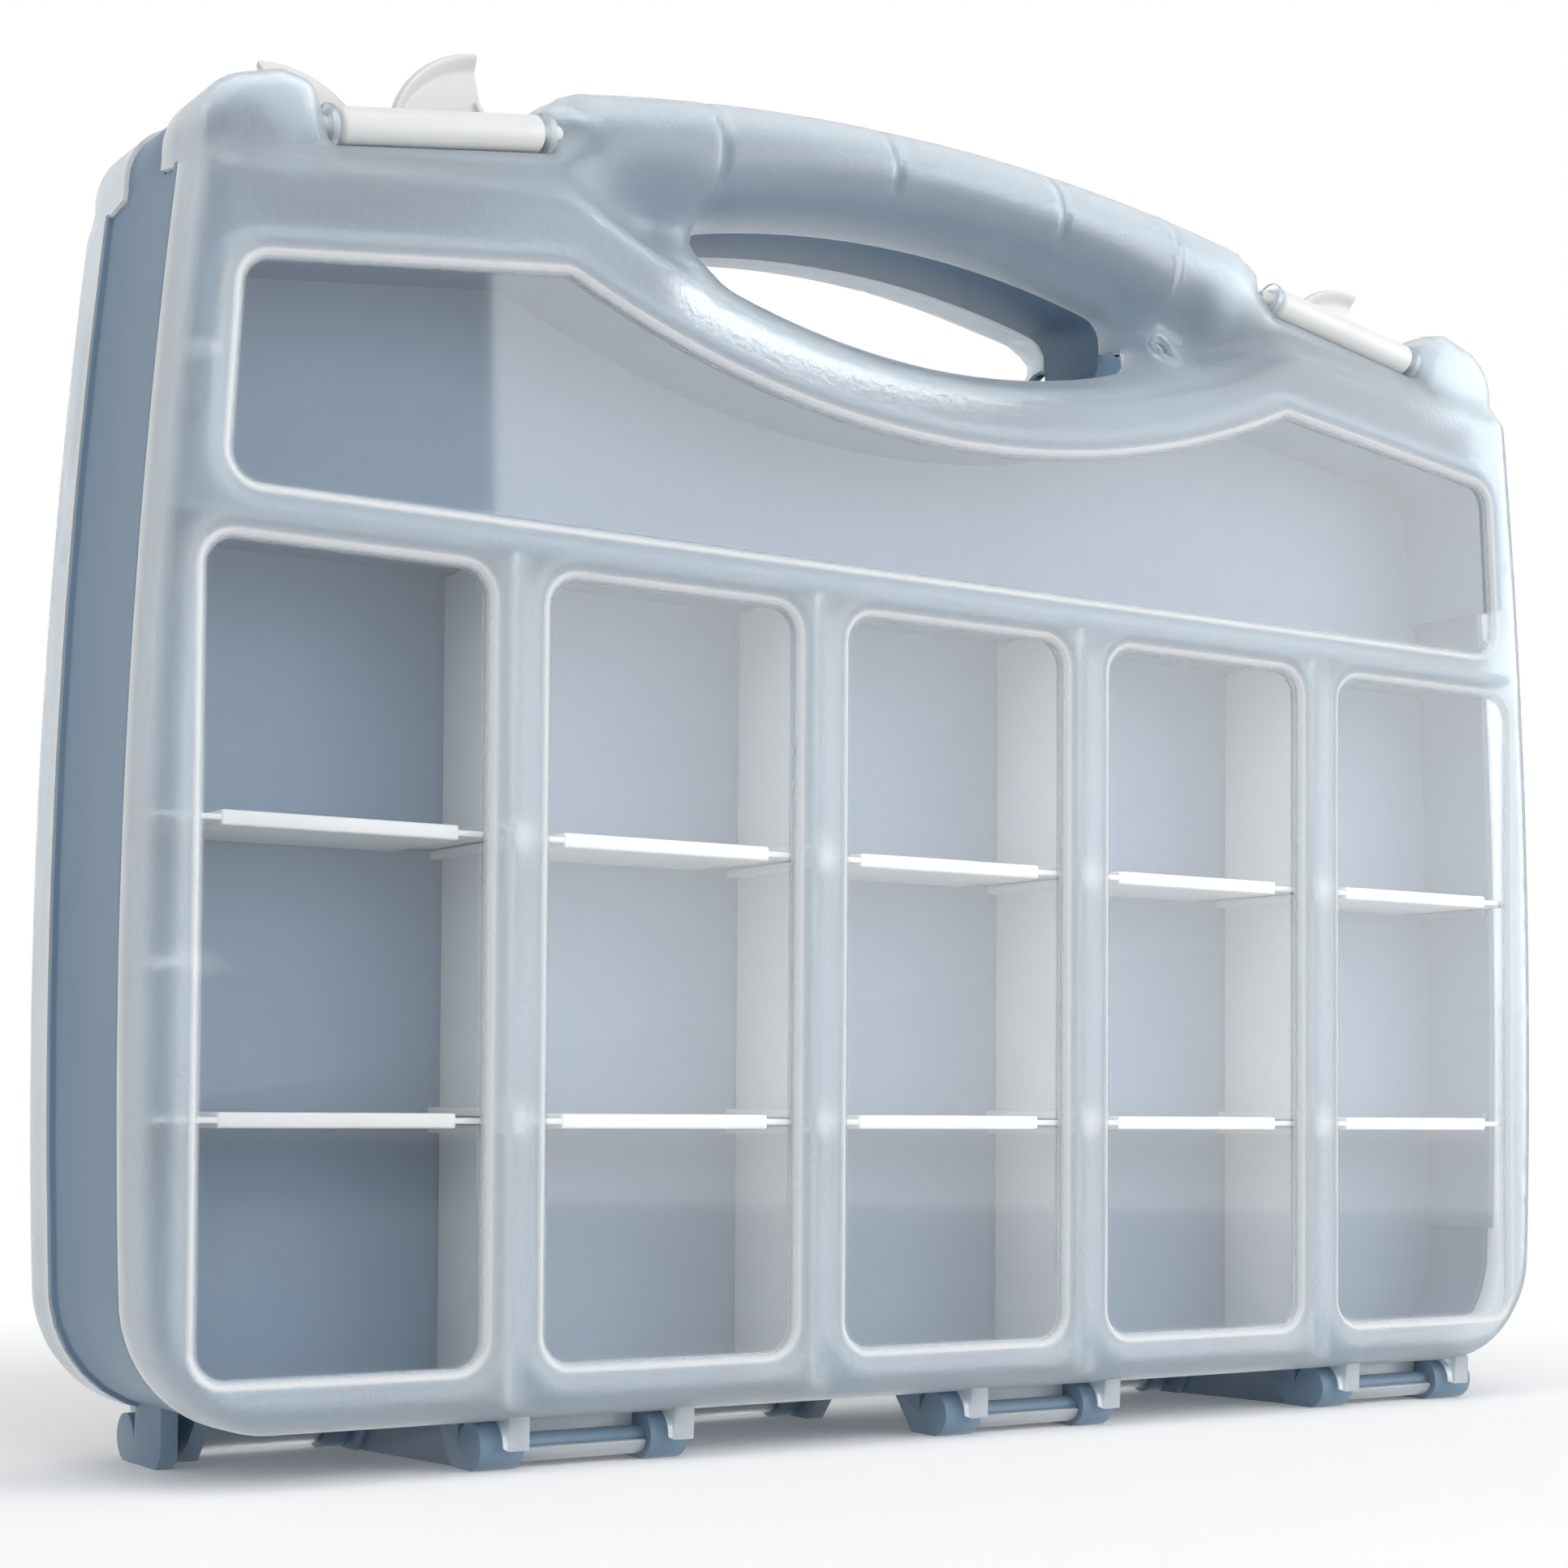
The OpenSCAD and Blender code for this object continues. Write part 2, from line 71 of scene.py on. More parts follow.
SIDE_R = 1600 * MM
WIDEST_Z = 100 * MM
BOTTOM_Z = 11.3 * MM
CORNER_R = 30 * MM
SHOULDER_Z = 288 * MM
SHOULDER_R = 15 * MM
RIM_Y = -22.8 * MM
STEP_Z = SHOULDER_Z - 2.7 * MM
HANDLE_HALF = 112 * MM
HANDLE_R = 9 * MM
ARCH_R = 564 * MM
LATCH_X = 140 * MM
LATCH_Y = -30 * MM
LATCH_Z = 301.5 * MM
LATCH_TILT = math.radians(9.5)
BARREL_R = 4.2 * MM
BARREL_L = 51 * MM
RECESS_X = LATCH_X + 27 * MM
RECESS_DROP = (BARREL_R + 0.4 * MM) / math.cos(LATCH_TILT)
GRIP_HALF = 67 * MM
GRIP_TOP = 304 * MM
GRIP_BOTTOM = 269 * MM
GRIP_TOP_R = 275 * MM
GRIP_LOW_R = 210 * MM
GRIP_CORNER_R = 7 * MM
WINDOW_W = 67 * MM
WINDOW_Z = (23.5 * MM, 202 * MM)
WINDOW_R = 7 * MM
TOP_WINDOW_Z = 213.5 * MM
TOP_WINDOW_X = 192.5 * MM
TOP_WINDOW_EDGE_Z = 262 * MM
PEAK_X = 111 * MM
DIP_Z = 247.5 * MM
DIP_R = 265 * MM
RIDGE_SIDE_Z = SHOULDER_Z - 5 * MM
RIDGE_PEAK_Z = SHOULDER_Z + 3.5 * MM
SCREW = (76 * MM, 287 * MM)


def arc(centre, radius, start, end, count):
    """Points on an arc, angles in degrees."""
    turn = np.radians(np.linspace(start, end, count + 1))
    return [(centre[0] + radius * math.cos(a), centre[1] + radius * math.sin(a)) for a in turn]


def mirrored(points):
    """The same points on the other side of the middle, in the opposite order."""
    return [(-x, z) for x, z in reversed(points)]


def rounded(points, radii, steps=5):
    """A closed outline whose corners are rounded by their own radius."""
    out = []
    n = len(points)
    for i, r in enumerate(radii):
        here = Vector(points[i])
        if r <= 0:
            out.append(tuple(here))
            continue
        back = (Vector(points[i - 1]) - here).normalized()
        ahead = (Vector(points[(i + 1) % n]) - here).normalized()
        half = back.angle(ahead) / 2
        reach = r / math.tan(half)
        centre = here + (back + ahead).normalized() * (r / math.sin(half))
        a = here + back * reach - centre
        b = here + ahead * reach - centre
        sweep = a.angle_signed(b)
        for k in range(steps + 1):
            t = Matrix.Rotation(-sweep * k / steps, 2) @ a
            out.append(tuple(centre + t))
    return out


def spaced(points, gap, closed=True):
    """The same path with points at most a gap apart."""
    out = []
    path = points + points[:1] if closed else points
    for a, b in zip(path, path[1:]):
        a, b = np.array(a), np.array(b)
        count = max(1, math.ceil(np.linalg.norm(b - a) / gap))
        out += [tuple(a + (b - a) * k / count) for k in range(count)]
    if not closed:
        out.append(tuple(points[-1]))
    return out


def side_x(z):
    """Half the case's width at a height, as its sides are slightly round."""
    return HALF_W - SIDE_R + math.sqrt(SIDE_R**2 - (z - WIDEST_Z) ** 2)


def arch_z(x):
    """Height of the handle's arched top."""
    return HANDLE_Z - ARCH_R + math.sqrt(ARCH_R**2 - x**2)


def recess_z(x):
    """The latch recess's floor, sloping down to the side."""
    return LATCH_Z - (x - LATCH_X) * math.tan(LATCH_TILT) - RECESS_DROP


def case_side():
    """The right side of the case's outline, from the middle of the bottom up to the handle's end."""
    corner_x = side_x(BOTTOM_Z + CORNER_R)
    low = BOTTOM_Z + CORNER_R
    right = [(0, BOTTOM_Z)]
    right += arc((corner_x - CORNER_R, low), CORNER_R, -90, -6, 14)
    right += [(side_x(z), z) for z in np.linspace(low, SHOULDER_Z, 40)[1:]]
    right += arc((side_x(SHOULDER_Z) - SHOULDER_R, SHOULDER_Z + 2 * MM), SHOULDER_R, 4, 66, 10)
    bend = rounded(
        [
            (RECESS_X + 12 * MM, SHOULDER_Z + 18.8 * MM),
            (RECESS_X + 4 * MM, SHOULDER_Z + 17.5 * MM),
            (RECESS_X, recess_z(RECESS_X)),
            (HANDLE_HALF, recess_z(HANDLE_HALF)),
            (HANDLE_HALF, arch_z(HANDLE_HALF)),
            (0, HANDLE_Z),
        ],
        [0, 5 * MM, 2 * MM, 2 * MM, 0, 0],
    )
    return right + bend[:-2]


def case_arch():
    """The right half of the handle's arch, from its end to the middle."""
    corner = arc((HANDLE_HALF - HANDLE_R, arch_z(HANDLE_HALF) - HANDLE_R), HANDLE_R, 0, 78, 7)
    return corner + [(x, arch_z(x)) for x in np.linspace(HANDLE_HALF - HANDLE_R, 0, 30)]


def case_outline():
    """The closed outline of the whole case, anticlockwise from the middle of the bottom."""
    right = case_side() + case_arch()
    return right + mirrored(right[1:-1])


def hand_opening():
    """The opening under the grip: two shallow arcs that meet in rounded corners."""
    top = (0, GRIP_TOP - GRIP_TOP_R)
    low = (0, GRIP_BOTTOM + GRIP_LOW_R)
    x = GRIP_HALF
    upper = math.degrees(math.asin(x / GRIP_TOP_R))
    lower = math.degrees(math.asin(x / GRIP_LOW_R))
    corners = [
        (x, low[1] - GRIP_LOW_R * math.cos(math.radians(lower))),
        (x, top[1] + GRIP_TOP_R * math.cos(math.radians(upper))),
    ]
    top_arc = arc(top, GRIP_TOP_R, 90 - upper, 90 + upper, 24)[1:-1]
    low_arc = arc(low, GRIP_LOW_R, 270 - lower, 270 + lower, 24)[1:-1]
    points = corners + top_arc + [(-a, b) for a, b in reversed(corners)] + low_arc
    radii = [GRIP_CORNER_R] * 2 + [0] * len(top_arc) + [GRIP_CORNER_R] * 2 + [0] * len(low_arc)
    keep = [abs(abs(p[0]) - x) > GRIP_CORNER_R or r for p, r in zip(points, radii)]
    points = [p for p, k in zip(points, keep) if k]
    return rounded(points, [r for r, k in zip(radii, keep) if k])


def column_windows():
    """The outlines of the lower windows, one over each column."""
    out = []
    for column in range(COLUMNS):
        x = (column - (COLUMNS - 1) / 2) * COLUMN_PITCH
        a, b = x - WINDOW_W / 2, x + WINDOW_W / 2
        box = [(a, WINDOW_Z[0]), (b, WINDOW_Z[0]), (b, WINDOW_Z[1]), (a, WINDOW_Z[1])]
        out.append(rounded(box, [WINDOW_R] * 4, 7))
    return out


def top_window():
    """The outline of the upper window, which dips under the hand opening."""
    centre = (0, DIP_Z + DIP_R)
    half = math.degrees(math.asin(PEAK_X / DIP_R))
    dip = arc(centre, DIP_R, half - 90, -half - 90, 40)
    upper_x = TOP_WINDOW_X - 3 * MM
    ends = [(-TOP_WINDOW_X, TOP_WINDOW_Z), (TOP_WINDOW_X, TOP_WINDOW_Z), (upper_x, TOP_WINDOW_EDGE_Z)]
    points = ends + dip + [(-upper_x, TOP_WINDOW_EDGE_Z)]
    radii = [WINDOW_R] * 3 + [6 * MM] + [0] * (len(dip) - 2) + [6 * MM, WINDOW_R]
    return rounded(points, radii, 6)


def ridge_outline():
    """The edge of the lid's raised face."""
    right = [p for p in case_side() if p[1] < RIDGE_SIDE_Z]
    centre = (0, DIP_Z + DIP_R)
    radius = math.hypot(PEAK_X, RIDGE_PEAK_Z - centre[1])
    start = math.degrees(math.atan2(RIDGE_PEAK_Z - centre[1], PEAK_X))
    dip = arc(centre, radius, start - 6, -90, 24)
    corners = [(side_x(RIDGE_SIDE_Z), RIDGE_SIDE_Z), (PEAK_X, RIDGE_PEAK_Z), dip[0]]
    bend = rounded(corners, [0, 20 * MM, 0], 8)
    right += bend[:-1] + dip
    return right + mirrored(right[1:-1])


# ---- Distances in the plane across the case ----


def distance(points, path, closed=True):
    """Distance of each point from the nearest part of a path."""
    a = np.array(path if closed else path[:-1])
    b = np.roll(a, -1, axis=0) if closed else np.array(path[1:])
    span = b - a
    length = np.maximum((span**2).sum(1), 1e-18)
    out = []
    for part in np.array_split(points, max(1, len(points) // 2000)):
        rel = part[:, None] - a
        t = np.clip((rel * span).sum(2) / length, 0, 1)
        off = rel - t[..., None] * span
        out.append(np.sqrt((off**2).sum(2).min(1)))
    return np.concatenate(out)


def inside(points, path):
    """Whether each point lies inside a closed path."""
    x, z = points[:, :1], points[:, 1:]
    a = np.array(path)
    b = np.roll(a, -1, axis=0)
    rise = np.where(b[:, 1] == a[:, 1], 1e-12, b[:, 1] - a[:, 1])
    crossing = (a[:, 1] > z) != (b[:, 1] > z)
    left = x < a[:, 0] + (z - a[:, 1]) * (b[:, 0] - a[:, 0]) / rise
    return (crossing & left).sum(1) % 2 == 1


def signed(points, path):
    """Distance from a closed path, positive inside it."""
    return np.where(inside(points, path), 1, -1) * distance(points, path)


def ease(t):
    """0 below 0, 1 above 1, and a smooth rise in between."""
    t = np.clip(t, 0, 1)
    return t * t * (3 - 2 * t)


def bump(value, width):
    """1 at 0, falling off smoothly over a width to both sides."""
    return np.exp(-((value / width) ** 2))


def rolled(d, reach, depth):
    """How far a rounded edge falls back at a distance from the edge."""
    t = np.clip(1 - d / reach, 0, 1)
    return depth * (1 - np.sqrt(1 - t * t))


# ---- The lid's moulded face ----

GROOVES_X = (-67 * MM, -16 * MM, 37 * MM)
SEAM_X = 75 * MM
SIDE_RIB_Z = (111.5 * MM, 240.3 * MM)
SCREW_R = 2.1 * MM
EDGE_GAP = 2.6 * MM
GRID_GAP = 3.4 * MM
PANE_GAP = 11 * MM
ROWS = {
    "outline": (0.5, 1.3, 2.5, 4, 6),
    "opening": (-0.5, -1.3, -2.5, -4, -6),
    "hole": (-0.8, -1.8, -2.8, -4, -5.4),
    "window": (2, 0.9, 0.4, 0, -0.4, -0.8, -1.2, -1.8, -2.8, -4, -5.4, -6.8),
}
LIP_W = 1.1 * MM


class LidFace:
    """The lid's outlines, and how far its face lies behind the foremost plane at a point."""

    def __init__(self, sizes):
        self.sizes = sizes
        self.outline = case_outline()
        arch = case_arch()
        self.arch = arch + mirrored(arch[:-1])
        self.rest = mirrored(case_side()[1:]) + case_side()
        self.opening = hand_opening()
        self.windows = column_windows() + [top_window()]
        self.ridge = ridge_outline()
        self.hole = arc(SCREW, SCREW_R, 0, 360, 20)[:-1]

    def beside_windows(self, points):
        """Distance from the nearest window's edge, negative inside a window."""
        return -np.max([signed(points, w) for w in self.windows], axis=0)

    def depth(self, points):
        """How far back the face lies at each point, from all its forms together."""
        s = self.sizes
        x, z = points[:, 0], points[:, 1]
        top = distance(points, self.arch, closed=False)
        rest = distance(points, self.rest, closed=False)
        hole = distance(points, self.opening)
        above = -signed(points, self.ridge)
        window = self.beside_windows(points)
        raised = ease((above + 4 * MM) / (9 * MM))
        grip = ease((z - 279 * MM) / (14 * MM))
        depth = s.ridge_height * raised
        scoop = bump(np.abs(x) - 82 * MM, 17 * MM) * bump(z - 291 * MM, 9 * MM)
        depth += s.scoop_depth * scoop * raised
        around = [
            rolled(rest, s.edge_radius, s.edge_radius),
            rolled(top, 14 * MM, s.grip_depth),
            rolled(hole, (8 + 5 * grip) * MM, (9 + 10 * grip) * MM),
        ]
        depth += (np.array(around) ** 2.5).sum(0) ** 0.4
        lip = s.window_depth + (LIP_W - s.window_depth) * ease(window / LIP_W)
        roll = np.clip(1 - (window - LIP_W) / (6 * MM), 0, 1)
        depth += np.where(window < LIP_W, lip, LIP_W * roll**2)
        band = ease((z - 284 * MM) / (4 * MM))
        for groove in GROOVES_X:
            depth += 1.1 * MM * bump(x - groove, 1.1 * MM) * band
        depth -= 0.5 * MM * bump(x - SEAM_X, 1.3 * MM) * ease((z - 295 * MM) / (8 * MM))
        ribs = ease((np.abs(x) - 196 * MM) / (3 * MM)) * ease((rest - 3.5 * MM) / (2 * MM))
        for rib in SIDE_RIB_Z:
            depth -= 0.4 * MM * bump(z - rib, 1.1 * MM) * ribs
        boss = np.hypot(x - SCREW[0], z - SCREW[1])
        depth -= 1.6 * MM * bump(boss - 4.2 * MM, 1.6 * MM)
        return np.maximum(depth, 0)

    def points(self):
        """Points over the face: a grid, and rows that follow every edge of it."""
        grids = []
        for pitch, panes in ((GRID_GAP, False), (PANE_GAP, True)):
            xs, zs = np.arange(-HALF_W, HALF_W, pitch), np.arange(BOTTOM_Z, HANDLE_Z, pitch)
            grid = np.array([(x, z) for x in xs for z in zs])
            window = self.beside_windows(grid)
            grid = grid[window < -4 * MM if panes else window > 7 * MM]
            clear = (signed(grid, self.outline) > 7 * MM) & (signed(grid, self.opening) < -7 * MM)
            grids.append(grid[clear])
        rows = []
        for path, steps in (
            (self.outline, ROWS["outline"]),
            (self.opening, ROWS["opening"]),
            (self.hole, ROWS["hole"]),
            *((w, ROWS["window"]) for w in self.windows),
        ):
            path = spaced(path, EDGE_GAP)
            for step in steps:
                rows.append(self.row(path, step * MM))
        return np.concatenate(grids + [self.fine_lines()] + rows)

    def fine_lines(self):
        """Close points along the grip's grooves and seam and along the ribs at the sides."""
        beside = range(-3, 4)
        up = np.arange(286 * MM, HANDLE_Z, 2.2 * MM)
        across = np.arange(196 * MM, 206 * MM, 1.6 * MM)
        lines = [(g + k * 0.8 * MM, z) for g in GROOVES_X + (SEAM_X,) for k in beside for z in up]
        for side in (-1, 1):
            lines += [(side * x, r + k * 0.6 * MM) for r in SIDE_RIB_Z for k in beside for x in across]
        lines = np.array(lines)
        clear = 6.5 * MM
        keep = (signed(lines, self.outline) > clear) & (signed(lines, self.opening) < -clear)
        return lines[keep & (self.beside_windows(lines) > 7 * MM)]

    def row(self, path, step):
        """Points beside a path at one distance, left out where the path turns too sharply for them."""
        p = np.array(path)
        along = np.roll(p, -1, axis=0) - np.roll(p, 1, axis=0)
        normal = np.stack([-along[:, 1], along[:, 0]], 1) / np.linalg.norm(along, axis=1)[:, None]
        moved = p + normal * step
        near = distance(moved, path) > abs(step) * 0.96
        held = inside(moved, self.outline) & ~inside(moved, self.opening) & ~inside(moved, self.hole)
        return moved[near & held]


# ---- Shader maths ----


class Value:
    """A shader socket that adds its own Math nodes when it is used in an expression."""

    def __init__(self, tree, socket):
        self.tree = tree
        self.socket = socket

    def node(self, kind, settings=None, inputs=None, output=0):
        """Any other node: its settings are set first, then its inputs by name or number."""
        node = self.tree.nodes.new(kind)
        for name, value in (settings or {}).items():
            setattr(node, name, value)
        for name, value in (inputs or {}).items():
            if isinstance(value, Value):
                self.tree.links.new(value.socket, node.inputs[name])
            else:
                node.inputs[name].default_value = value
        return Value(self.tree, node.outputs[output])

    def maths(self, operation, a, b=None, clamp=False):
        inputs = {0: a} if b is None else {0: a, 1: b}
        return self.node("ShaderNodeMath", {"operation": operation, "use_clamp": clamp}, inputs)

    def __add__(self, other):
        return self.maths("ADD", self, other)

    def __sub__(self, other):
        return self.maths("SUBTRACT", self, other)

    def __mul__(self, other):
        return self.maths("MULTIPLY", self, other)

    def __radd__(self, other):
        return self.maths("ADD", other, self)

    def __rsub__(self, other):
        return self.maths("SUBTRACT", other, self)

    def __rmul__(self, other):
        return self.maths("MULTIPLY", other, self)

    def clamped(self):
        return self.maths("ADD", self, 0.0, clamp=True)

    def between(self, low, high):
        """0 below low, 1 above high, and even in between."""
        return self.maths("DIVIDE", self - low, high - low, clamp=True)


def colour(rgb):
    """A colour with full alpha, as sockets want it."""
    return (*rgb, 1.0)


class Finish:
    """A material under construction: its Principled shader, and the patterns on it."""

    def __init__(self, name):
        self.material = bpy.data.materials.new(name)
        self.material.use_nodes = True
        self.tree = self.material.node_tree
        self.shader = self.tree.nodes["Principled BSDF"]
        self.start = Value(self.tree, self.tree.nodes.new("ShaderNodeTexCoord").outputs["Object"])

    def noise(self, scale, detail=2, roughness=0.5):
        """Noise of a size given in metres."""
        inputs = {"Vector": self.start, "Scale": 1 / scale, "Detail": detail, "Roughness": roughness}
        return self.start.node("ShaderNodeTexNoise", {}, inputs)

    def attribute(self, name):
        """A number stored at the mesh's points."""
        return self.start.node("ShaderNodeAttribute", {"attribute_name": name}, {}, "Fac")

    def blend(self, share, first, second):
        """One colour going over to another."""
        node = self.tree.nodes.new("ShaderNodeMix")
        node.data_type = "RGBA"
        for number, value in ((0, share), (6, first), (7, second)):
            socket = node.inputs[number]
            if isinstance(value, Value):
                self.tree.links.new(value.socket, socket)
            else:
                socket.default_value = value
        return Value(self.tree, node.outputs[2])

    def set(self, **inputs):
        """Sets or links inputs of the shader, with underscores for the spaces in their names."""
        for name, value in inputs.items():
            socket = self.shader.inputs[name.replace("_", " ")]
            if isinstance(value, Value):
                self.tree.links.new(value.socket, socket)
            else:
                socket.default_value = value

    def bumped(self, height, depth):
        """A surface that follows a height, with its full depth in metres."""
        inputs = {"Height": height, "Strength": 1.0, "Distance": depth}
        self.set(Normal=self.start.node("ShaderNodeBump", {}, inputs))

    def covered(self, share, kind="ShaderNodeBsdfPrincipled"):
        """Puts a second shader over a share of the first; set() goes on with the second."""
        over = self.tree.nodes.new(kind)
        mix = self.tree.nodes.new("ShaderNodeMixShader")
        self.tree.links.new(share.socket, mix.inputs[0])
        self.tree.links.new(self.shader.outputs[0], mix.inputs[1])
        self.tree.links.new(over.outputs[0], mix.inputs[2])
        self.tree.links.new(mix.outputs[0], self.tree.nodes["Material Output"].inputs["Surface"])
        self.shader = over


# ---- Finishes ----


def body_plastic(colours):
    """The middle body: slate-blue moulded plastic with soft clouding and a fine grain."""
    f = Finish("body_plastic")
    cloud = f.noise(60 * MM, 3).between(0.35, 0.65)
    grain = f.noise(1.3 * MM, 2)
    tone = f.blend(cloud * 0.5 + grain * 0.2, colour(colours.body_shade), colour(colours.body))
    f.set(Base_Color=tone, Roughness=0.42 + grain * 0.12, IOR=1.46)
    f.bumped(grain, 0.02 * MM)
    return f.material


def latch_plastic(colours):
    """Latches: clean white plastic, satin, with the faintest cloudiness."""
    f = Finish("latch_plastic")
    cloud = f.noise(14 * MM, 2).between(0.3, 0.7)
    tone = f.blend(cloud, colour(colours.latch), colour([c * 0.955 for c in colours.latch]))
    f.set(Base_Color=tone, Roughness=0.3 + cloud * 0.06, IOR=1.46)
    f.bumped(f.noise(1.4 * MM, 1), 0.012 * MM)
    return f.material


def divider_plastic(colours):
    """Dividers: natural white plastic that passes a little light."""
    f = Finish("divider_plastic")
    cloud = f.noise(22 * MM, 3).between(0.3, 0.7)
    tone = f.blend(cloud, colour(colours.divider), colour([c * 0.93 for c in colours.divider]))
    f.set(Base_Color=tone, Roughness=0.38 + cloud * 0.08, IOR=1.45)
    f.bumped(f.noise(1.1 * MM, 1), 0.015 * MM)
    return f.material


PEBBLE_DEPTH = 0.14 * MM


def frosted_plastic(colours):
    """The lids: clear in the windows, blurred and milky where the mould was grained, and paler where the
    edge attribute paints highlights.
    """
    f = Finish("frosted_plastic")
    frosted = 1 - f.attribute("clear")
    # edge: the painted highlights and painted divider glow stored at the lid's points
    edge = f.attribute("edge")
    cloud = f.noise(45 * MM, 3).between(0.3, 0.7)
    pebble = f.noise(1.5 * MM, 2, 0.6)
    f.set(
        Base_Color=f.blend(frosted, colour(colours.window), colour(colours.frost)),
        Roughness=0.03 + frosted * (0.24 + 0.08 * pebble),
        Transmission_Weight=1.0,
        IOR=1.46,
    )
    f.bumped(pebble * frosted, PEBBLE_DEPTH)
    # the milky layer also covers the painted highlights where edge is high
    f.covered((frosted * (0.12 + 0.06 * cloud) + edge * 0.6).clamped())
    tone = f.blend(cloud, colour(colours.milk), colour(colours.milk_shade))
    # painted highlights: the milky tone goes over to the pale highlight colour along edge
    skin = f.blend(edge, tone, colour(colours.painted_edge_highlight))
    f.set(Base_Color=skin, Roughness=0.42 + 0.1 * pebble, IOR=1.46)
    f.bumped(pebble, PEBBLE_DEPTH)
    return f.material


SHADOW_ENDS = (0.26, 0.46)


def floor_finish(colours):
    """A matt white floor that keeps the case's shadow, and is white to the camera away from it."""
    f = Finish("studio_floor")
    fine = f.noise(4 * MM, 2)
    tone = f.blend(fine, colour(colours.floor), colour([c * 0.995 for c in colours.floor]))
    seen = Value(f.tree, f.tree.nodes.new("ShaderNodeLightPath").outputs["Is Camera Ray"])
    f.set(Base_Color=tone, Roughness=0.9, Specular_IOR_Level=0.0, Emission_Color=colour((1, 1, 1)))
    f.set(Emission_Strength=seen * 0.1)
    length = f.start.node("ShaderNodeVectorMath", {"operation": "LENGTH"}, {0: f.start}, "Value")
    f.covered(length.between(*SHADOW_ENDS) * seen, "ShaderNodeEmission")
    return f.material


# ---- Meshes ----


def placed(name, mesh):
    """A new object of the scene with this mesh."""
    obj = bpy.data.objects.new(name, mesh)
    bpy.context.scene.collection.objects.link(obj)
    return obj


def shaded(mesh, sharp_from):
    """Smooth shading, with the edges kept sharp from an angle in degrees."""
    mesh.polygons.foreach_set("use_smooth", [True] * len(mesh.polygons))
    mesh.set_sharp_from_angle(angle=math.radians(sharp_from))


def covered_with(obj, material):
    obj.data.materials.clear()
    obj.data.materials.append(material)


def mesh_object(name, vertices, faces):
    """An object from points and faces."""
    mesh = bpy.data.meshes.new(name)
    mesh.from_pydata([tuple(v) for v in vertices], [], faces)
    mesh.validate()
    mesh.polygons.foreach_set("use_smooth", [True] * len(mesh.polygons))
    return placed(name, mesh)


def facing_out(obj):
    bm = bmesh.new()
    bm.from_mesh(obj.data)
    bmesh.ops.recalc_face_normals(bm, faces=bm.faces)
    bm.to_mesh(obj.data)
    bm.free()
    return obj


def joined(name, parts):
    """One object from several; their shells stay separate."""
    bm = bmesh.new()
    for part in parts:
        bm.from_mesh(part.data)
    mesh = bpy.data.meshes.new(name)
    bm.to_mesh(mesh)
    bm.free()
    for part in parts:
        bpy.data.objects.remove(part)
    return placed(name, mesh)


def settled(obj):
    """The object with its modifiers' result as a plain mesh."""
    depsgraph = bpy.context.evaluated_depsgraph_get()
    mesh = bpy.data.meshes.new_from_object(obj.evaluated_get(depsgraph))
    obj.modifiers.clear()
    obj.data = mesh
    return obj


def with_bevel(obj, width, segments=2, angle=35):
    """The object with its edges rounded, and smooth shading between its sharp edges."""
    bevel = obj.modifiers.new("Bevel", "BEVEL")
    bevel.width = width
    bevel.segments = segments
    bevel.limit_method = "ANGLE"
    bevel.angle_limit = math.radians(angle)
    bevel.harden_normals = False
    obj = settled(obj)
    shaded(obj.data, 40)
    return obj


def extruded(name, profile, x0, x1):
    """A profile of (y, z) points made solid from x0 to x1."""
    n = len(profile)
    verts = [(x, y, z) for x in (x0, x1) for y, z in profile]
    faces = [tuple(range(n)), tuple(range(2 * n - 1, n - 1, -1))]
    faces += [(i + n, (i + 1) % n + n, (i + 1) % n, i) for i in range(n)]
    return facing_out(mesh_object(name, verts, faces))


def lathed(name, profile, centre, sides=40):
    """A profile of (x, radius) points turned round a line along X through the centre."""
    verts = []
    turns = np.linspace(0, 2 * math.pi, sides, endpoint=False)
    for x, r in profile:
        verts += [(x, centre[0] + r * math.cos(a), centre[1] + r * math.sin(a)) for a in turns]
    last = (len(profile) - 1) * sides
    faces = [tuple(range(sides - 1, -1, -1)), tuple(range(last, last + sides))]
    for ring in range(0, last, sides):
        for i in range(sides):
            j = (i + 1) % sides
            faces.append((ring + i, ring + j, ring + sides + j, ring + sides + i))
    return facing_out(mesh_object(name, verts, faces))


def merged_copy(name, node):
    """A CAD node's mesh with its loose triangles merged into flat faces."""
    bm = bmesh.new()
    bm.from_mesh(NODES[node].data)
    bmesh.ops.remove_doubles(bm, verts=bm.verts, dist=0.002 * MM)
    flat = math.radians(0.6)
    bmesh.ops.dissolve_limit(
        bm, angle_limit=flat, verts=bm.verts, edges=bm.edges, use_dissolve_boundaries=False
    )
    mesh = bpy.data.meshes.new(name)
    bm.to_mesh(mesh)
    bm.free()
    return placed(name, mesh)


def turned(obj):
    """The same mesh turned half round, as the case's back matches its front."""
    obj.data.transform(Matrix.Rotation(math.pi, 4, "Z"))
    return obj


# ---- The lid ----

HINGE_Y = 28.5 * MM
HINGE_Z = 5.5 * MM
HINGE_X = (-101 * MM, 28 * MM, 157 * MM)
PIN_L = 33 * MM
PIN_R = 2.35 * MM
CLIP_R = PIN_R + 0.07 * MM
CLIP_WALL = 1.8 * MM
EAR_R = 5.5 * MM
INNER_EAR_W = 4 * MM
KNUCKLE_L = 6 * MM
LEAF_TOP = BOTTOM_Z + 1.2 * MM
PLAY = 0.3 * MM


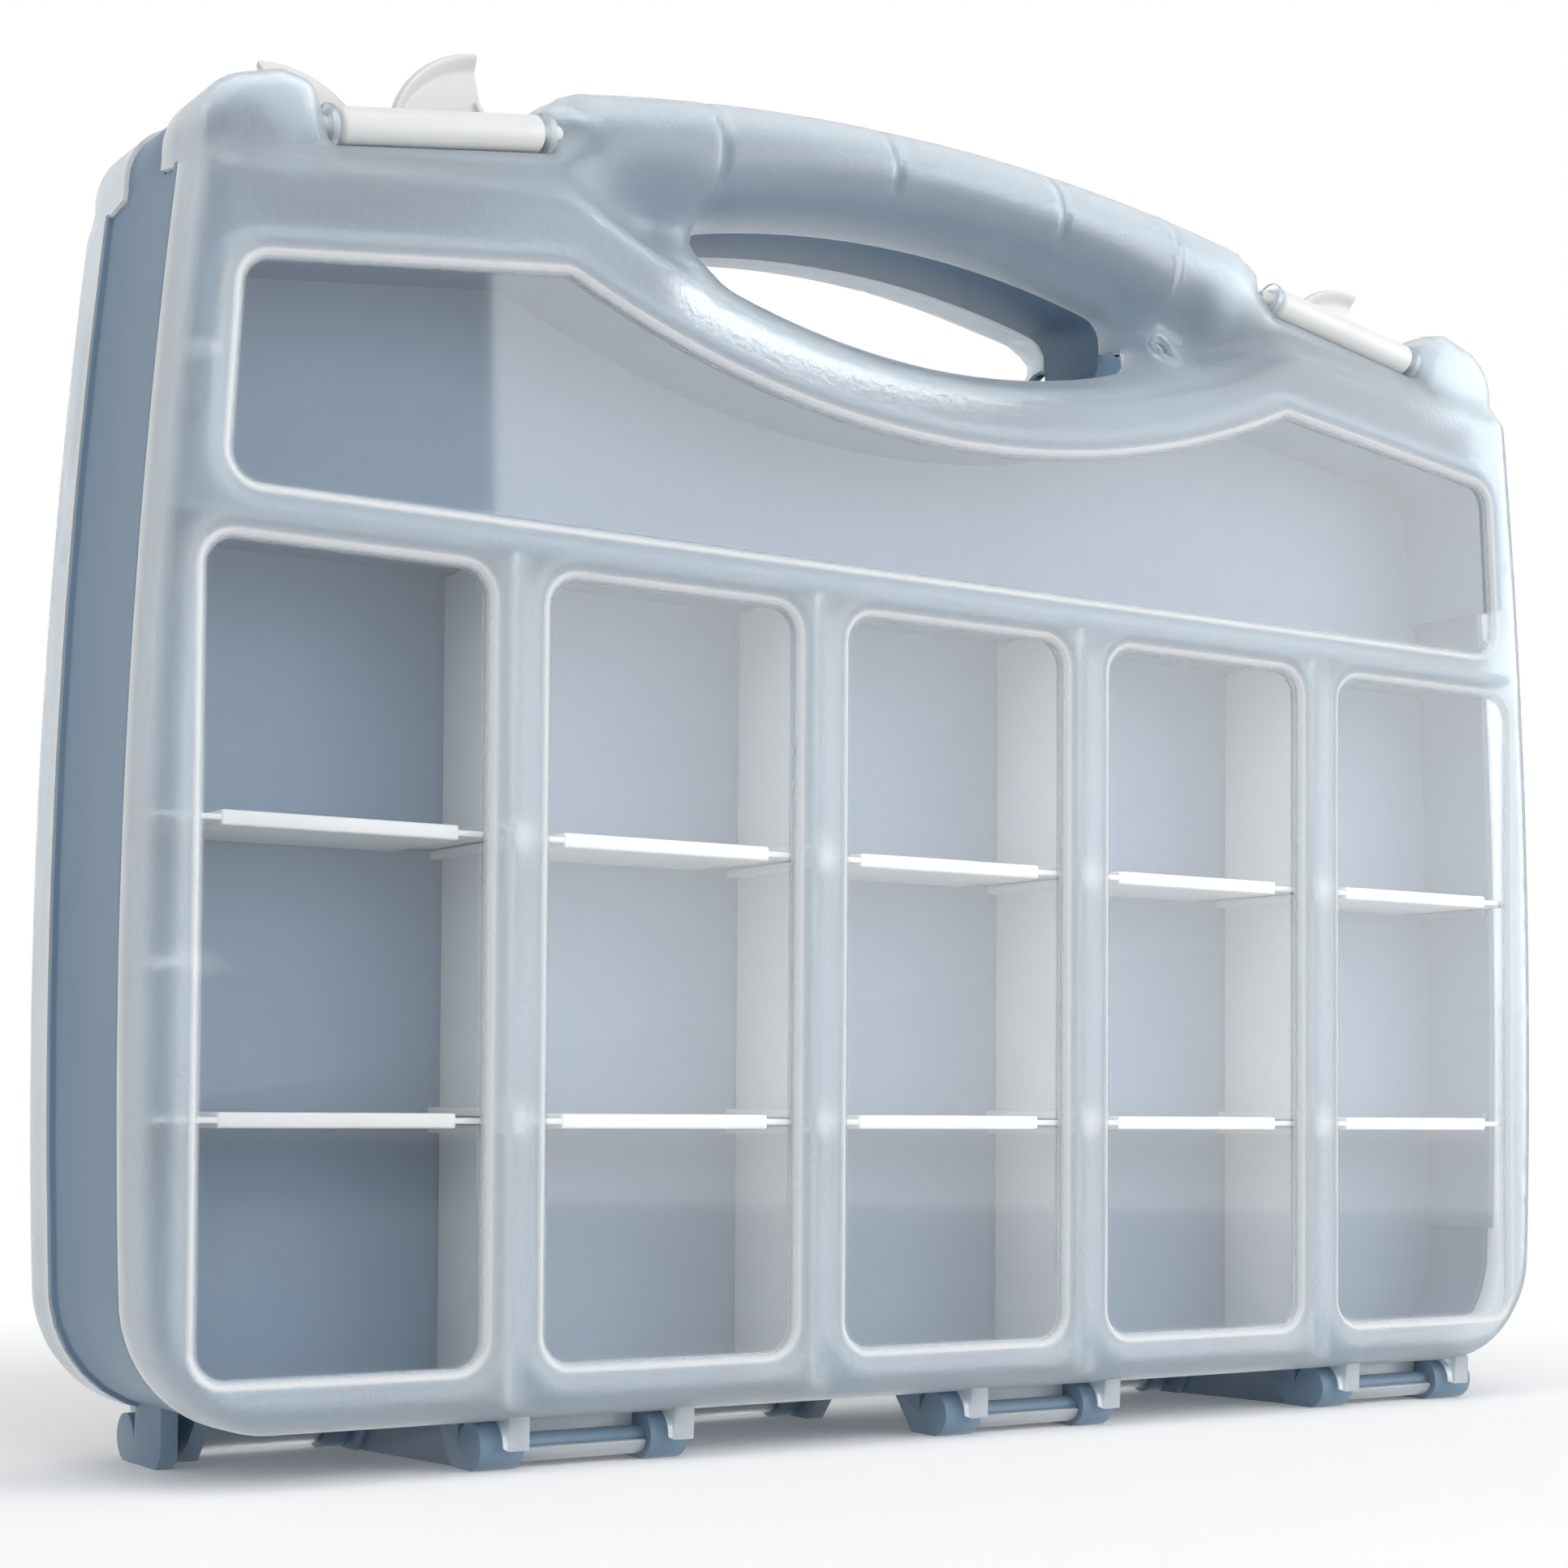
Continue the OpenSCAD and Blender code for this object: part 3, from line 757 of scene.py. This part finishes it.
def lid_face(face):
    """The moulded face of the lid, its walls and the walls of its openings, as one open skin."""
    loops = [spaced(face.outline, EDGE_GAP), spaced(face.opening, EDGE_GAP), face.hole]
    free = face.points()
    coords, edges = [], []
    for loop in loops:
        start = len(coords)
        coords += loop
        edges += [(start + i, start + (i + 1) % len(loop)) for i in range(len(loop))]
    coords = [Vector(c) for c in coords] + [Vector(p) for p in free]
    flat = delaunay_2d_cdt(coords, edges, [], 0, 1e-7)
    points = np.array([tuple(v) for v in flat[0]])
    triangles = np.array([f for f in flat[2] if len(f) == 3])
    middle = points[triangles].mean(1)
    kept = inside(middle, face.outline) & ~inside(middle, face.opening) & ~inside(middle, face.hole)
    a, b, c = (points[triangles[:, i]] for i in range(3))
    area = (b[:, 0] - a[:, 0]) * (c[:, 1] - a[:, 1]) - (b[:, 1] - a[:, 1]) * (c[:, 0] - a[:, 0])
    triangles = triangles[kept & (abs(area) > 0.01 * MM**2)]
    if area[0] < 0:
        triangles = triangles[:, ::-1]
    depth = face.depth(points)
    verts = [(x, FACE_Y + d, z) for (x, z), d in zip(points, depth)]
    return verts, [tuple(int(i) for i in t) for t in triangles]


def place(v):
    """A point's place in the face, as a key to find it again behind its edge."""
    return round(v.co.x, 6), round(v.co.z, 6)


def rim_y(v, start):
    """How far back the lid's wall reaches behind a point of its edge."""
    if math.hypot(v.co.x - SCREW[0], v.co.z - SCREW[1]) < 2 * SCREW_R:
        return start + 2.5 * MM
    return RIM_Y if v.co.z < STEP_Z else RIM_TOP_Y


WALL_STEPS = (0.12, 0.55, 1)


def lid_skin(sizes):
    """The face with its walls drawn back to the rim, and the outlines it came from."""
    face = LidFace(sizes)
    verts, faces = lid_face(face)
    bm = bmesh.new()
    made = [bm.verts.new(v) for v in verts]
    for f in faces:
        bm.faces.new([made[i] for i in f])
    bmesh.ops.delete(bm, geom=[v for v in bm.verts if not v.link_faces], context="VERTS")
    border = [e for e in bm.edges if e.is_boundary]
    edge = {place(v): v.co.y for e in border for v in e.verts}
    for share in WALL_STEPS:
        grown = bmesh.ops.extrude_edge_only(bm, edges=border)["geom"]
        border = [g for g in grown if isinstance(g, bmesh.types.BMEdge) and g.is_boundary]
        for v in {v for e in border for v in e.verts}:
            start = edge[place(v)]
            v.co.y = start + (rim_y(v, start) - start) * share
    bmesh.ops.recalc_face_normals(bm, faces=bm.faces)
    mesh = bpy.data.meshes.new("lid_skin")
    bm.to_mesh(mesh)
    bm.free()
    return placed("lid_skin", mesh), face


def painted(skin, face):
    """The lid's clear windows, and painted highlights on its window bevels, rims, rolled outline and side
    ribs, as numbers at its points for the finish to read.
    """
    mesh = skin.data
    at = np.array([tuple(v.co) for v in mesh.vertices])
    flat = at[:, [0, 2]]
    window = face.beside_windows(flat)
    rim = np.where(flat[:, 1] < STEP_Z, RIM_Y, RIM_TOP_Y) - at[:, 1]
    clear = ease(-window / (0.8 * MM))
    # edge: painted highlight, a crisp white line on each window's bevel and a soft band beside it
    edge = bump(window - 0.8 * MM, 0.9 * MM) + 0.2 * bump(window - 4 * MM, 2.2 * MM)
    gap = face_gap(flat, face)
    # painted highlight on the walls' rims, and a paler band round the rolled outer edge and the hand
    # opening
    edge = np.maximum(edge, bump(rim, 2 * MM) * (gap < 4 * MM))
    edge = np.maximum(edge, 0.35 * (1 - ease(gap / (3.5 * MM))))
    # painted glow of the dividers behind the lid, outside the windows
    edge += painted_divider_glow(flat) * ease(window / (2 * MM))
    # painted highlights along the crests of the side ribs
    for rib in SIDE_RIB_Z:
        at_side = (np.abs(flat[:, 0]) > 195 * MM) & (gap > 2 * MM)
        edge += 0.7 * bump(flat[:, 1] - rib, 1 * MM) * at_side
    # the hinge parts below the face are given the pale tone as well
    edge = np.maximum(edge, 0.45 * (flat[:, 1] < LEAF_TOP - 1.5 * MM))
    # edge carries the painted highlights and the painted divider glow to the finish
    for name, values in (("clear", clear), ("edge", np.clip(edge, 0, 1))):
        layer = mesh.attributes.new(name, "FLOAT", "POINT")
        layer.data.foreach_set("value", values.astype(np.float32))


def painted_divider_glow(flat):
    """Painted glow where the dividers' edges lie against the lid, standing in for their showing through it,
    for a point (x, z) of the face.
    """
    shown = np.zeros(len(flat))
    low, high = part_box("front_column_1")
    between = (flat[:, 1] > low[2]) & (flat[:, 1] < high[2])
    for x in COLUMNS_X:
        shown += 0.32 * bump(flat[:, 0] - x, 1.9 * MM) * between
        for z in ROW_Z:
            shown += 0.4 * bump(np.hypot(flat[:, 0] - x, flat[:, 1] - z), 3.6 * MM)
    return shown


def face_gap(flat, face):
    """Distance from the lid's outer edge or from its hand opening."""
    return np.minimum(distance(flat, face.outline), distance(flat, face.opening))


def hinge_parts():
    """The lid's hinge leaves: a plate down to each pin with a clip round it, and tongues beside it."""
    y = -HINGE_Y
    outer = CLIP_R + CLIP_WALL
    reach = EAR_R + PLAY
    leaf = [(y + outer, LEAF_TOP), (y + CLIP_R, LEAF_TOP), (y + CLIP_R, HINGE_Z)]
    leaf += arc((y, HINGE_Z), CLIP_R, -10, -170, 16) + arc((y, HINGE_Z), outer, -170, 0, 17)
    tongue = arc((y, HINGE_Z), reach, 96, 184, 11)
    tongue += [(y - reach - 3 * MM, HINGE_Z - 0.8 * MM), (y - reach - 3.3 * MM, LEAF_TOP)]
    tongue.append((y - 1 * MM, LEAF_TOP))
    parts = []
    for x in HINGE_X:
        low, high = x - PIN_L / 2, x + PIN_L / 2
        pieces = [(leaf, low, high)]
        pieces += [(tongue, k, k + KNUCKLE_L) for k in (low - KNUCKLE_L, high + INNER_EAR_W)]
        for profile, x0, x1 in pieces:
            parts.append(with_bevel(extruded("hinge", profile, x0 + PLAY, x1 - PLAY), 0.35 * MM))
    return parts


def on_latch(obj, side):
    """Moves a piece made round the origin to a latch's axis on the shoulder."""
    axis = Matrix.Translation((side * LATCH_X, LATCH_Y, LATCH_Z))
    obj.data.transform(axis @ Matrix.Rotation(side * LATCH_TILT, 4, "Y"))
    return obj


def sockets():
    """Collars on the end walls of the recesses, in which the latches' stubs turn."""
    near = BARREL_L / 2 + 0.9 * MM
    x = [near + s * MM for s in (0, 0, 1.2, 1.6, 1.6)]
    r = [2.1 * MM, 4.6 * MM, 4.8 * MM, 4.6 * MM, 2.1 * MM]
    parts = []
    for side in (-1, 1):
        for end in (-1, 1):
            ring = lathed("collar", [(end * a, b) for a, b in zip(x, r)], (0, 0), 28)
            parts.append(on_latch(ring, side))
    return parts


def make_lid(sizes, node, material, back):
    """One lid in the place of its node: the skin made solid, with its hinge parts and sockets."""
    skin, face = lid_skin(sizes)
    solid = skin.modifiers.new("Wall", "SOLIDIFY")
    solid.thickness = sizes.lid_wall
    solid.offset = -1
    skin = settled(skin)
    lid = joined(f"{node}_piece", [skin] + hinge_parts() + sockets())
    shaded(lid.data, 50)
    painted(lid, face)
    if back:
        turned(lid)
    covered_with(lid, material)
    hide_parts(node)
    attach(lid, node)


# ---- Latches ----

LATCH_REACH = 29 * MM
FINGER_H = 25.7 * MM
FINGER_BEND = (
    [-2 * MM, 4 * MM, 12 * MM, 19 * MM, 26 * MM],
    [21.6 * MM, 23.2 * MM, 24.4 * MM, 25 * MM, 25.2 * MM],
)
PLATE_TOP = (
    [0, 8 * MM, 16 * MM, 23 * MM, LATCH_REACH],
    [BARREL_R, BARREL_R - 0.9 * MM, 0.6 * MM, -1.6 * MM, -2 * MM],
)
GUSSETS_X = (9 * MM, 16 * MM, 23 * MM)


LATCHES = (("front_left", -1, 0), ("front_right", 1, 0), ("rear_left", 1, 1), ("rear_right", -1, 1))


def finger_height(u):
    """Height of the finger tab's quarter-round outline along the latch."""
    t = (BARREL_L / 2 - 1 * MM - u) / (FINGER_H * 1.05)
    return FINGER_H * 1.02 * math.sqrt(max(0.0, 1 - t * t)) - 1 * MM


def finger_tab():
    """The tab that is lifted with a finger, with its rolled edge."""
    us = np.linspace(-1.5 * MM, BARREL_L / 2 - 1 * MM, 34)
    shares = np.linspace(0, 1, 30)
    verts, faces = [], []
    for u in us:
        top = finger_height(u)
        for share in shares:
            z = -2 * MM + share * (top + 2 * MM)
            y = np.interp(z, *FINGER_BEND) - 2.6 * MM * bump(top - z, 2.4 * MM)
            verts.append((u, y, z))
    n = len(shares)
    for i in range(len(us) - 1):
        for j in range(n - 1):
            a = i * n + j
            faces.append((a, a + n, a + n + 1, a + 1))
    tab = mesh_object("tab", verts, faces)
    wall = tab.modifiers.new("Wall", "SOLIDIFY")
    wall.thickness = 1.7 * MM
    wall.offset = 0
    return with_bevel(settled(tab), 0.35 * MM)


def latch_shape():
    """One latch round its own axis: barrel, stubs, curved plate, finger tab and its gussets."""
    half = BARREL_L / 2
    ends = arc((half - 1.4 * MM, BARREL_R - 1.4 * MM), 1.4 * MM, 90, 0, 6)
    parts = [lathed("barrel", mirrored(ends) + ends, (0, 0), 48)]
    reach = half + 5.6 * MM
    stub = [(reach - 0.5 * MM, 2 * MM), (reach, 1.5 * MM)]
    parts.append(lathed("stub", mirrored(stub) + stub, (0, 0), 32))
    fit = np.polyfit(*PLATE_TOP, 3)
    top = [(y, min(BARREL_R, float(np.polyval(fit, y)))) for y in np.linspace(0, LATCH_REACH, 20)]
    low = -BARREL_R + 0.2 * MM
    plate = extruded("plate", [(0, low)] + top + [(LATCH_REACH, low)], -half, half)
    parts.append(with_bevel(plate, 0.4 * MM))
    parts.append(finger_tab())
    for u in GUSSETS_X:
        top_z = 0.44 * u + 4 * MM
        foot = [(14 * MM, 0.4 * MM), (23 * MM, -1.7 * MM), (24 * MM, top_z), (23.2 * MM, top_z)]
        parts.append(with_bevel(extruded("gusset", foot, u, u + 1.3 * MM), 0.25 * MM))
    latch = joined("latch", parts)
    latch.data.set_sharp_from_angle(angle=math.radians(45))
    return latch


def make_latches(material):
    """The four latches, the rear ones turned round with their lid."""
    shape = latch_shape()
    for place, side, back in LATCHES:
        latch = on_latch(placed(f"{place}_latch_piece", shape.data.copy()), side)
        if back:
            turned(latch)
        covered_with(latch, material)
        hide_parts(f"{place}_latch")
        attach(latch, f"{place}_latch")
    bpy.data.objects.remove(shape)


# ---- Dividers ----

DIVIDER_T = 1.8 * MM
TAB_T = 1.4 * MM
ROW_T = 3.4 * MM
ROW_HALF = 27.7 * MM
SLOT_GAP = 0.3 * MM
BOSS_W = 7 * MM
BOSS_H = 6 * MM
TAB_IN = 2.4 * MM
CORE_HALF = 1.3 * MM


def repeating_tree(material):
    """Geometry Nodes that repeat a piece across and up by a pitch."""
    tree = bpy.data.node_groups.new("spaced_dividers", "GeometryNodeTree")
    face = tree.interface
    face.new_socket("Geometry", in_out="INPUT", socket_type="NodeSocketGeometry")
    face.new_socket("Geometry", in_out="OUTPUT", socket_type="NodeSocketGeometry")
    for name, kind, value in (
        ("Across", "NodeSocketInt", 1),
        ("Pitch Across", "NodeSocketFloat", COLUMN_PITCH),
        ("Up", "NodeSocketInt", 1),
        ("Pitch Up", "NodeSocketFloat", 0.0),
    ):
        face.new_socket(name, in_out="INPUT", socket_type=kind).default_value = value
    enter = tree.nodes.new("NodeGroupInput")
    leave = tree.nodes.new("NodeGroupOutput")
    geometry = enter.outputs["Geometry"]
    for count, pitch, axis in (("Across", "Pitch Across", 0), ("Up", "Pitch Up", 2)):
        line = tree.nodes.new("GeometryNodeMeshLine")
        step = tree.nodes.new("ShaderNodeCombineXYZ")
        put = tree.nodes.new("GeometryNodeInstanceOnPoints")
        real = tree.nodes.new("GeometryNodeRealizeInstances")
        tree.links.new(enter.outputs[count], line.inputs["Count"])
        tree.links.new(enter.outputs[pitch], step.inputs[axis])
        tree.links.new(step.outputs[0], line.inputs["Offset"])
        tree.links.new(line.outputs["Mesh"], put.inputs["Points"])
        tree.links.new(geometry, put.inputs["Instance"])
        tree.links.new(put.outputs["Instances"], real.inputs["Geometry"])
        geometry = real.outputs["Geometry"]
    finish = tree.nodes.new("GeometryNodeSetMaterial")
    finish.inputs["Material"].default_value = material
    tree.links.new(geometry, finish.inputs["Geometry"])
    tree.links.new(finish.outputs["Geometry"], leave.inputs["Geometry"])
    return tree


def repeated(obj, tree, across, up=1, pitch_up=0.0):
    """The piece repeated by the tree, as a plain mesh."""
    nodes = obj.modifiers.new("Spaced", "NODES")
    nodes.node_group = tree
    values = {"Across": across, "Up": up, "Pitch Up": pitch_up}
    for item in tree.interface.items_tree:
        if item.in_out == "INPUT" and item.name in values:
            nodes[item.identifier] = values[item.name]
    return settled(obj)


def block(lo, hi):
    """A box between two corners."""
    profile = [(lo[1], lo[2]), (hi[1], lo[2]), (hi[1], hi[2]), (lo[1], hi[2])]
    return extruded("block", profile, lo[0], hi[0])


def column_piece(node):
    """The leftmost column divider: its long plate, and the bosses with slots that hold the rows."""
    lo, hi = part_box(node)
    x = (lo[0] + hi[0]) / 2
    half = DIVIDER_T / 2
    parts = [with_bevel(block((x - half, lo[1], lo[2]), (x + half, hi[1], hi[2])), 0.45 * MM)]
    slot = TAB_T / 2 + SLOT_GAP
    for z in ROW_Z:
        for side in (-1, 1):
            near, far = sorted((x + side * (BOSS_W / 2 - TAB_IN - SLOT_GAP), x + side * BOSS_W / 2))
            for z0, z1 in ((z + slot, z + BOSS_H / 2), (z - BOSS_H / 2, z - slot)):
                cheek = block((near - 0.5 * MM, lo[1], z0), (far, hi[1], z1))
                parts.append(with_bevel(cheek, 0.4 * MM))
        core = block((x - CORE_HALF, lo[1], z - BOSS_H / 2), (x + CORE_HALF, hi[1], z + BOSS_H / 2))
        parts.append(with_bevel(core, 0.3 * MM))
    return joined("column", parts)


def row_piece(node):
    """One row divider: its plate and the thin tabs at its ends."""
    lo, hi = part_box(node)
    z = (lo[2] + hi[2]) / 2
    middle = round((lo[0] + hi[0]) / 2 / COLUMN_PITCH) * COLUMN_PITCH
    plate = block((middle - ROW_HALF, lo[1], z - ROW_T / 2), (middle + ROW_HALF, hi[1], z + ROW_T / 2))
    tabs = block((lo[0], lo[1] + 0.3 * MM, z - TAB_T / 2), (hi[0], hi[1], z + TAB_T / 2))
    return joined("row", [with_bevel(plate, 0.55 * MM, 3), with_bevel(tabs, 0.4 * MM)])


COLUMNS_X = tuple((i + 1 - COLUMNS / 2) * COLUMN_PITCH for i in range(COLUMNS - 1))
ROW_Z = tuple(sum(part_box(f"front_{row}_row_3")[k][2] for k in (0, 1)) / 2 for row in ("lower", "upper"))


def make_dividers(tree, name, pieces, nodes):
    """One object from pieces, in the place of their nodes."""
    obj = joined(name, pieces)
    covered_with(obj, tree.nodes["Set Material"].inputs["Material"].default_value)
    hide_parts(*nodes)
    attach(obj, "case")


def make_all_dividers(material):
    """The columns and rows of both halves, repeated from one piece of each kind."""
    tree = repeating_tree(material)
    for place in ("front", "rear"):
        ends = sorted((f"{place}_column_{i}" for i in range(1, COLUMNS)), key=lambda n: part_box(n)[0][0])
        plates = repeated(column_piece(ends[0]), tree, COLUMNS - 1)
        make_dividers(tree, f"{place}_columns", [plates], ends)
        rows = sorted(n for n in NODES if n.startswith(place) and "_row_" in n)
        lower = sorted((n for n in rows if "lower" in n), key=lambda n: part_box(n)[0][0])
        pitch = ROW_Z[1] - ROW_Z[0] if place == "front" else 0.0
        up = len(rows) // COLUMNS
        inner = repeated(row_piece(lower[1]), tree, COLUMNS - 2, up, pitch)
        outer = [repeated(row_piece(lower[i]), tree, 1, up, pitch) for i in (0, -1)]
        make_dividers(tree, f"{place}_rows", [inner] + outer, rows)


# ---- Middle body ----


def make_body(material):
    """The middle body, with its flat faces merged and its edges softened."""
    body = merged_copy("case_body_piece", "case_body")
    body = with_bevel(body, 0.4 * MM, 2, 40)
    covered_with(body, material)
    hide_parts("case_body")
    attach(body, "case")


# ---- Stage ----

CAMERA_AT = (-409.36 * MM, -586.64 * MM, 81.39 * MM)
CAMERA_YAW = math.radians(34.056)
CAMERA_PITCH = math.radians(1.904)
CAMERA_ROLL = math.radians(0.338)
SENSOR = 36.0
LENS = 63.11
SHIFT = (-0.02776, 0.1497)
FLOOR_HALF = 6.0
SOFT_BOXES = {
    "key": ("right_soft_box", (1.12, -1.2, 0.3), (0, 0, 0.15), (1.2, 1.7)),
    "fill": ("top_soft_box", (-0.3, -0.5, 1.2), (0, 0, 0.1), (1.0, 0.8)),
}


def add_camera():
    """The camera that the photo was solved for."""
    level = math.cos(CAMERA_PITCH)
    ahead = Vector((math.sin(CAMERA_YAW) * level, math.cos(CAMERA_YAW) * level, math.sin(CAMERA_PITCH)))
    across = Vector((math.cos(CAMERA_YAW), -math.sin(CAMERA_YAW), 0))
    up = across.cross(ahead)
    c, s = math.cos(CAMERA_ROLL), math.sin(CAMERA_ROLL)
    right, top = c * across + s * up, -s * across + c * up
    data = bpy.data.cameras.new("studio_camera")
    data.sensor_width = SENSOR
    data.lens = LENS
    data.shift_x, data.shift_y = SHIFT
    data.clip_start = 0.01
    camera = bpy.data.objects.new("studio_camera", data)
    turn = Matrix((right, top, -ahead)).transposed()
    camera.matrix_world = Matrix.Translation(CAMERA_AT) @ turn.to_4x4()
    bpy.context.scene.collection.objects.link(camera)
    bpy.context.scene.camera = camera


def add_lamp(name, place, aim, size, power):
    """A soft box at a place, turned to what it aims at."""
    data = bpy.data.lights.new(name, "AREA")
    data.shape = "RECTANGLE"
    data.size, data.size_y = size
    data.energy = power
    lamp = bpy.data.objects.new(name, data)
    lamp.location = place
    lamp.rotation_euler = (Vector(aim) - Vector(place)).to_track_quat("-Z", "Y").to_euler()
    bpy.context.scene.collection.objects.link(lamp)


RAYS = ("Camera", "Glossy", "Transmission")
INSIDE_LEVEL = 1.8


def add_world(strength):
    """White to the camera and in reflections, and a plain level of soft light on the object.

    What comes in through the lids is raised, so that the inside shows its own colours.
    """
    world = bpy.data.worlds.new("studio")
    bpy.context.scene.world = world
    world.use_nodes = True
    tree = world.node_tree
    back = tree.nodes["Background"]
    path = tree.nodes.new("ShaderNodeLightPath")
    camera, glossy, through = (Value(tree, path.outputs[f"Is {kind} Ray"]) for kind in RAYS)
    seen = (camera + glossy).clamped()
    total = seen * (1 - strength) + through * (INSIDE_LEVEL - strength) + strength
    tree.links.new(total.socket, back.inputs["Strength"])
    back.inputs["Color"].default_value = (1, 1, 1, 1)


def add_floor(colours):
    """A wide floor that keeps the shadow but isn't seen mirrored in the panes."""
    mesh = bpy.data.meshes.new("studio_floor")
    half = FLOOR_HALF
    corners = [(-half, -half, 0), (half, -half, 0), (half, half, 0), (-half, half, 0)]
    mesh.from_pydata(corners, [], [(0, 1, 2, 3)])
    floor = placed("studio_floor", mesh)
    floor.data.materials.append(floor_finish(colours))
    floor.visible_glossy = False


# ---- Add-on ----


def size_of(name, description, default, low, high):
    """A length property, its values given in millimetres."""
    limits = {"default": default * MM, "min": low * MM, "max": high * MM}
    return FloatProperty(name=name, description=description, unit="LENGTH", **limits)


def colour_of(name, description, default):
    limits = {"default": default, "min": 0, "max": 1, "size": 3}
    return FloatVectorProperty(name=name, description=description, subtype="COLOR", **limits)


class CaseSizes(bpy.types.PropertyGroup):
    """Sizes of the looks that a user would change."""

    lid_wall: size_of("Lid Wall", "Thickness of the lids' walls", 1.7, 0.8, 3)
    edge_radius: size_of("Edge Radius", "Radius of the lids' outer edges", 6, 2, 10)
    ridge_height: size_of("Ridge Height", "How far the raised face stands before the shoulders", 5, 0, 8)
    window_depth: size_of("Window Depth", "How far the clear panes lie behind the face", 2.5, 0.5, 4)
    scoop_depth: size_of("Scoop Depth", "Depth of the hollows beside the hand opening", 11, 0, 15)
    grip_depth: size_of("Grip Roundness", "How far the grip's rounded top falls back", 19, 5, 22)


class CaseColours(bpy.types.PropertyGroup):
    """Colours of the plastics and of the studio."""

    body: colour_of("Body", "Slate blue of the middle body", (0.185, 0.275, 0.378))
    body_shade: colour_of("Body Shade", "Darker tone in the body's clouding", (0.163, 0.246, 0.342))
    frost: colour_of("Frost", "What shines through the frosted zones of the lids", (0.86, 0.92, 0.96))
    milk: colour_of("Milk", "Milky surface of the frosted zones", (0.74, 0.81, 0.86))
    milk_shade: colour_of("Milk Shade", "Darker tone in the milky surface", (0.64, 0.72, 0.79))
    # colour of the painted highlights on the lids' edges, rims and ribs
    painted_edge_highlight: colour_of("Frost Edge", "Pale edges and rims of the lids", (0.92, 0.93, 0.94))
    window: colour_of("Window", "Clear panes", (0.97, 0.98, 0.99))
    latch: colour_of("Latch", "White of the latches", (0.74, 0.745, 0.74))
    divider: colour_of("Divider", "White of the dividers", (0.80, 0.82, 0.82))
    floor: colour_of("Floor", "Studio floor", (0.98, 0.98, 0.98))


def amount(name, description, default, high):
    return FloatProperty(name=name, description=description, default=default, min=0, max=high)


class CaseStudio(bpy.types.PropertyGroup):
    """Light levels of the studio."""

    ambient: amount("Ambient", "Level of the soft light from all sides", 0.62, 1.5)
    key: amount("Key", "Power of the soft box on the right, in watts", 20.0, 200)
    fill: amount("Fill", "Power of the soft box above, in watts", 3.5, 200)


def group(name):
    """The scene's own copy of a property group."""
    return getattr(bpy.context.scene, name)


class CASE_OT_body(bpy.types.Operator):
    """Dress the middle body"""

    bl_idname = "parts_case.body"
    bl_label = "Middle Body"

    def execute(self, context):
        make_body(body_plastic(group("case_colours")))
        return {"FINISHED"}


class CASE_OT_dividers(bpy.types.Operator):
    """Build the column and row dividers of both halves"""

    bl_idname = "parts_case.dividers"
    bl_label = "Dividers"

    def execute(self, context):
        make_all_dividers(divider_plastic(group("case_colours")))
        return {"FINISHED"}


class CASE_OT_lids(bpy.types.Operator):
    """Build the two frosted lids"""

    bl_idname = "parts_case.lids"
    bl_label = "Lids"

    def execute(self, context):
        frosted = frosted_plastic(group("case_colours"))
        for node, back in (("front_lid", False), ("rear_lid", True)):
            make_lid(group("case_sizes"), node, frosted, back)
        return {"FINISHED"}


class CASE_OT_latches(bpy.types.Operator):
    """Build the four latches"""

    bl_idname = "parts_case.latches"
    bl_label = "Latches"

    def execute(self, context):
        make_latches(latch_plastic(group("case_colours")))
        return {"FINISHED"}


class CASE_OT_stage(bpy.types.Operator):
    """Set up the white studio, its light and the camera"""

    bl_idname = "parts_case.stage"
    bl_label = "Stage"

    def execute(self, context):
        studio = group("case_studio")
        add_floor(group("case_colours"))
        add_world(studio.ambient)
        for power, lamp in SOFT_BOXES.items():
            add_lamp(*lamp, getattr(studio, power))
        add_camera()
        context.scene.view_settings.view_transform = "Standard"
        return {"FINISHED"}


class CASE_PT_panel(bpy.types.Panel):
    """Sizes, colours and pieces of the parts case"""

    bl_idname = "CASE_PT_panel"
    bl_label = "Parts Case"
    bl_space_type = "VIEW_3D"
    bl_region_type = "UI"
    bl_category = "Parts Case"

    def draw(self, context):
        for name in GROUPS:
            box = self.layout.box()
            values = getattr(context.scene, name)
            for key in values.__annotations__:
                box.prop(values, key)
        for operator in OPERATORS:
            self.layout.operator(operator.bl_idname)


GROUPS = {"case_sizes": CaseSizes, "case_colours": CaseColours, "case_studio": CaseStudio}
OPERATORS = (CASE_OT_body, CASE_OT_dividers, CASE_OT_lids, CASE_OT_latches, CASE_OT_stage)
CLASSES = (*GROUPS.values(), *OPERATORS, CASE_PT_panel)


def register():
    for cls in CLASSES:
        bpy.utils.register_class(cls)
    for name, cls in GROUPS.items():
        setattr(bpy.types.Scene, name, PointerProperty(type=cls))


def unregister():
    for name in GROUPS:
        delattr(bpy.types.Scene, name)
    for cls in reversed(CLASSES):
        bpy.utils.unregister_class(cls)


def main():
    register()
    for operator in OPERATORS:
        area, name = operator.bl_idname.split(".")
        getattr(getattr(bpy.ops, area), name)()


if __name__ == "__main__":
    main()
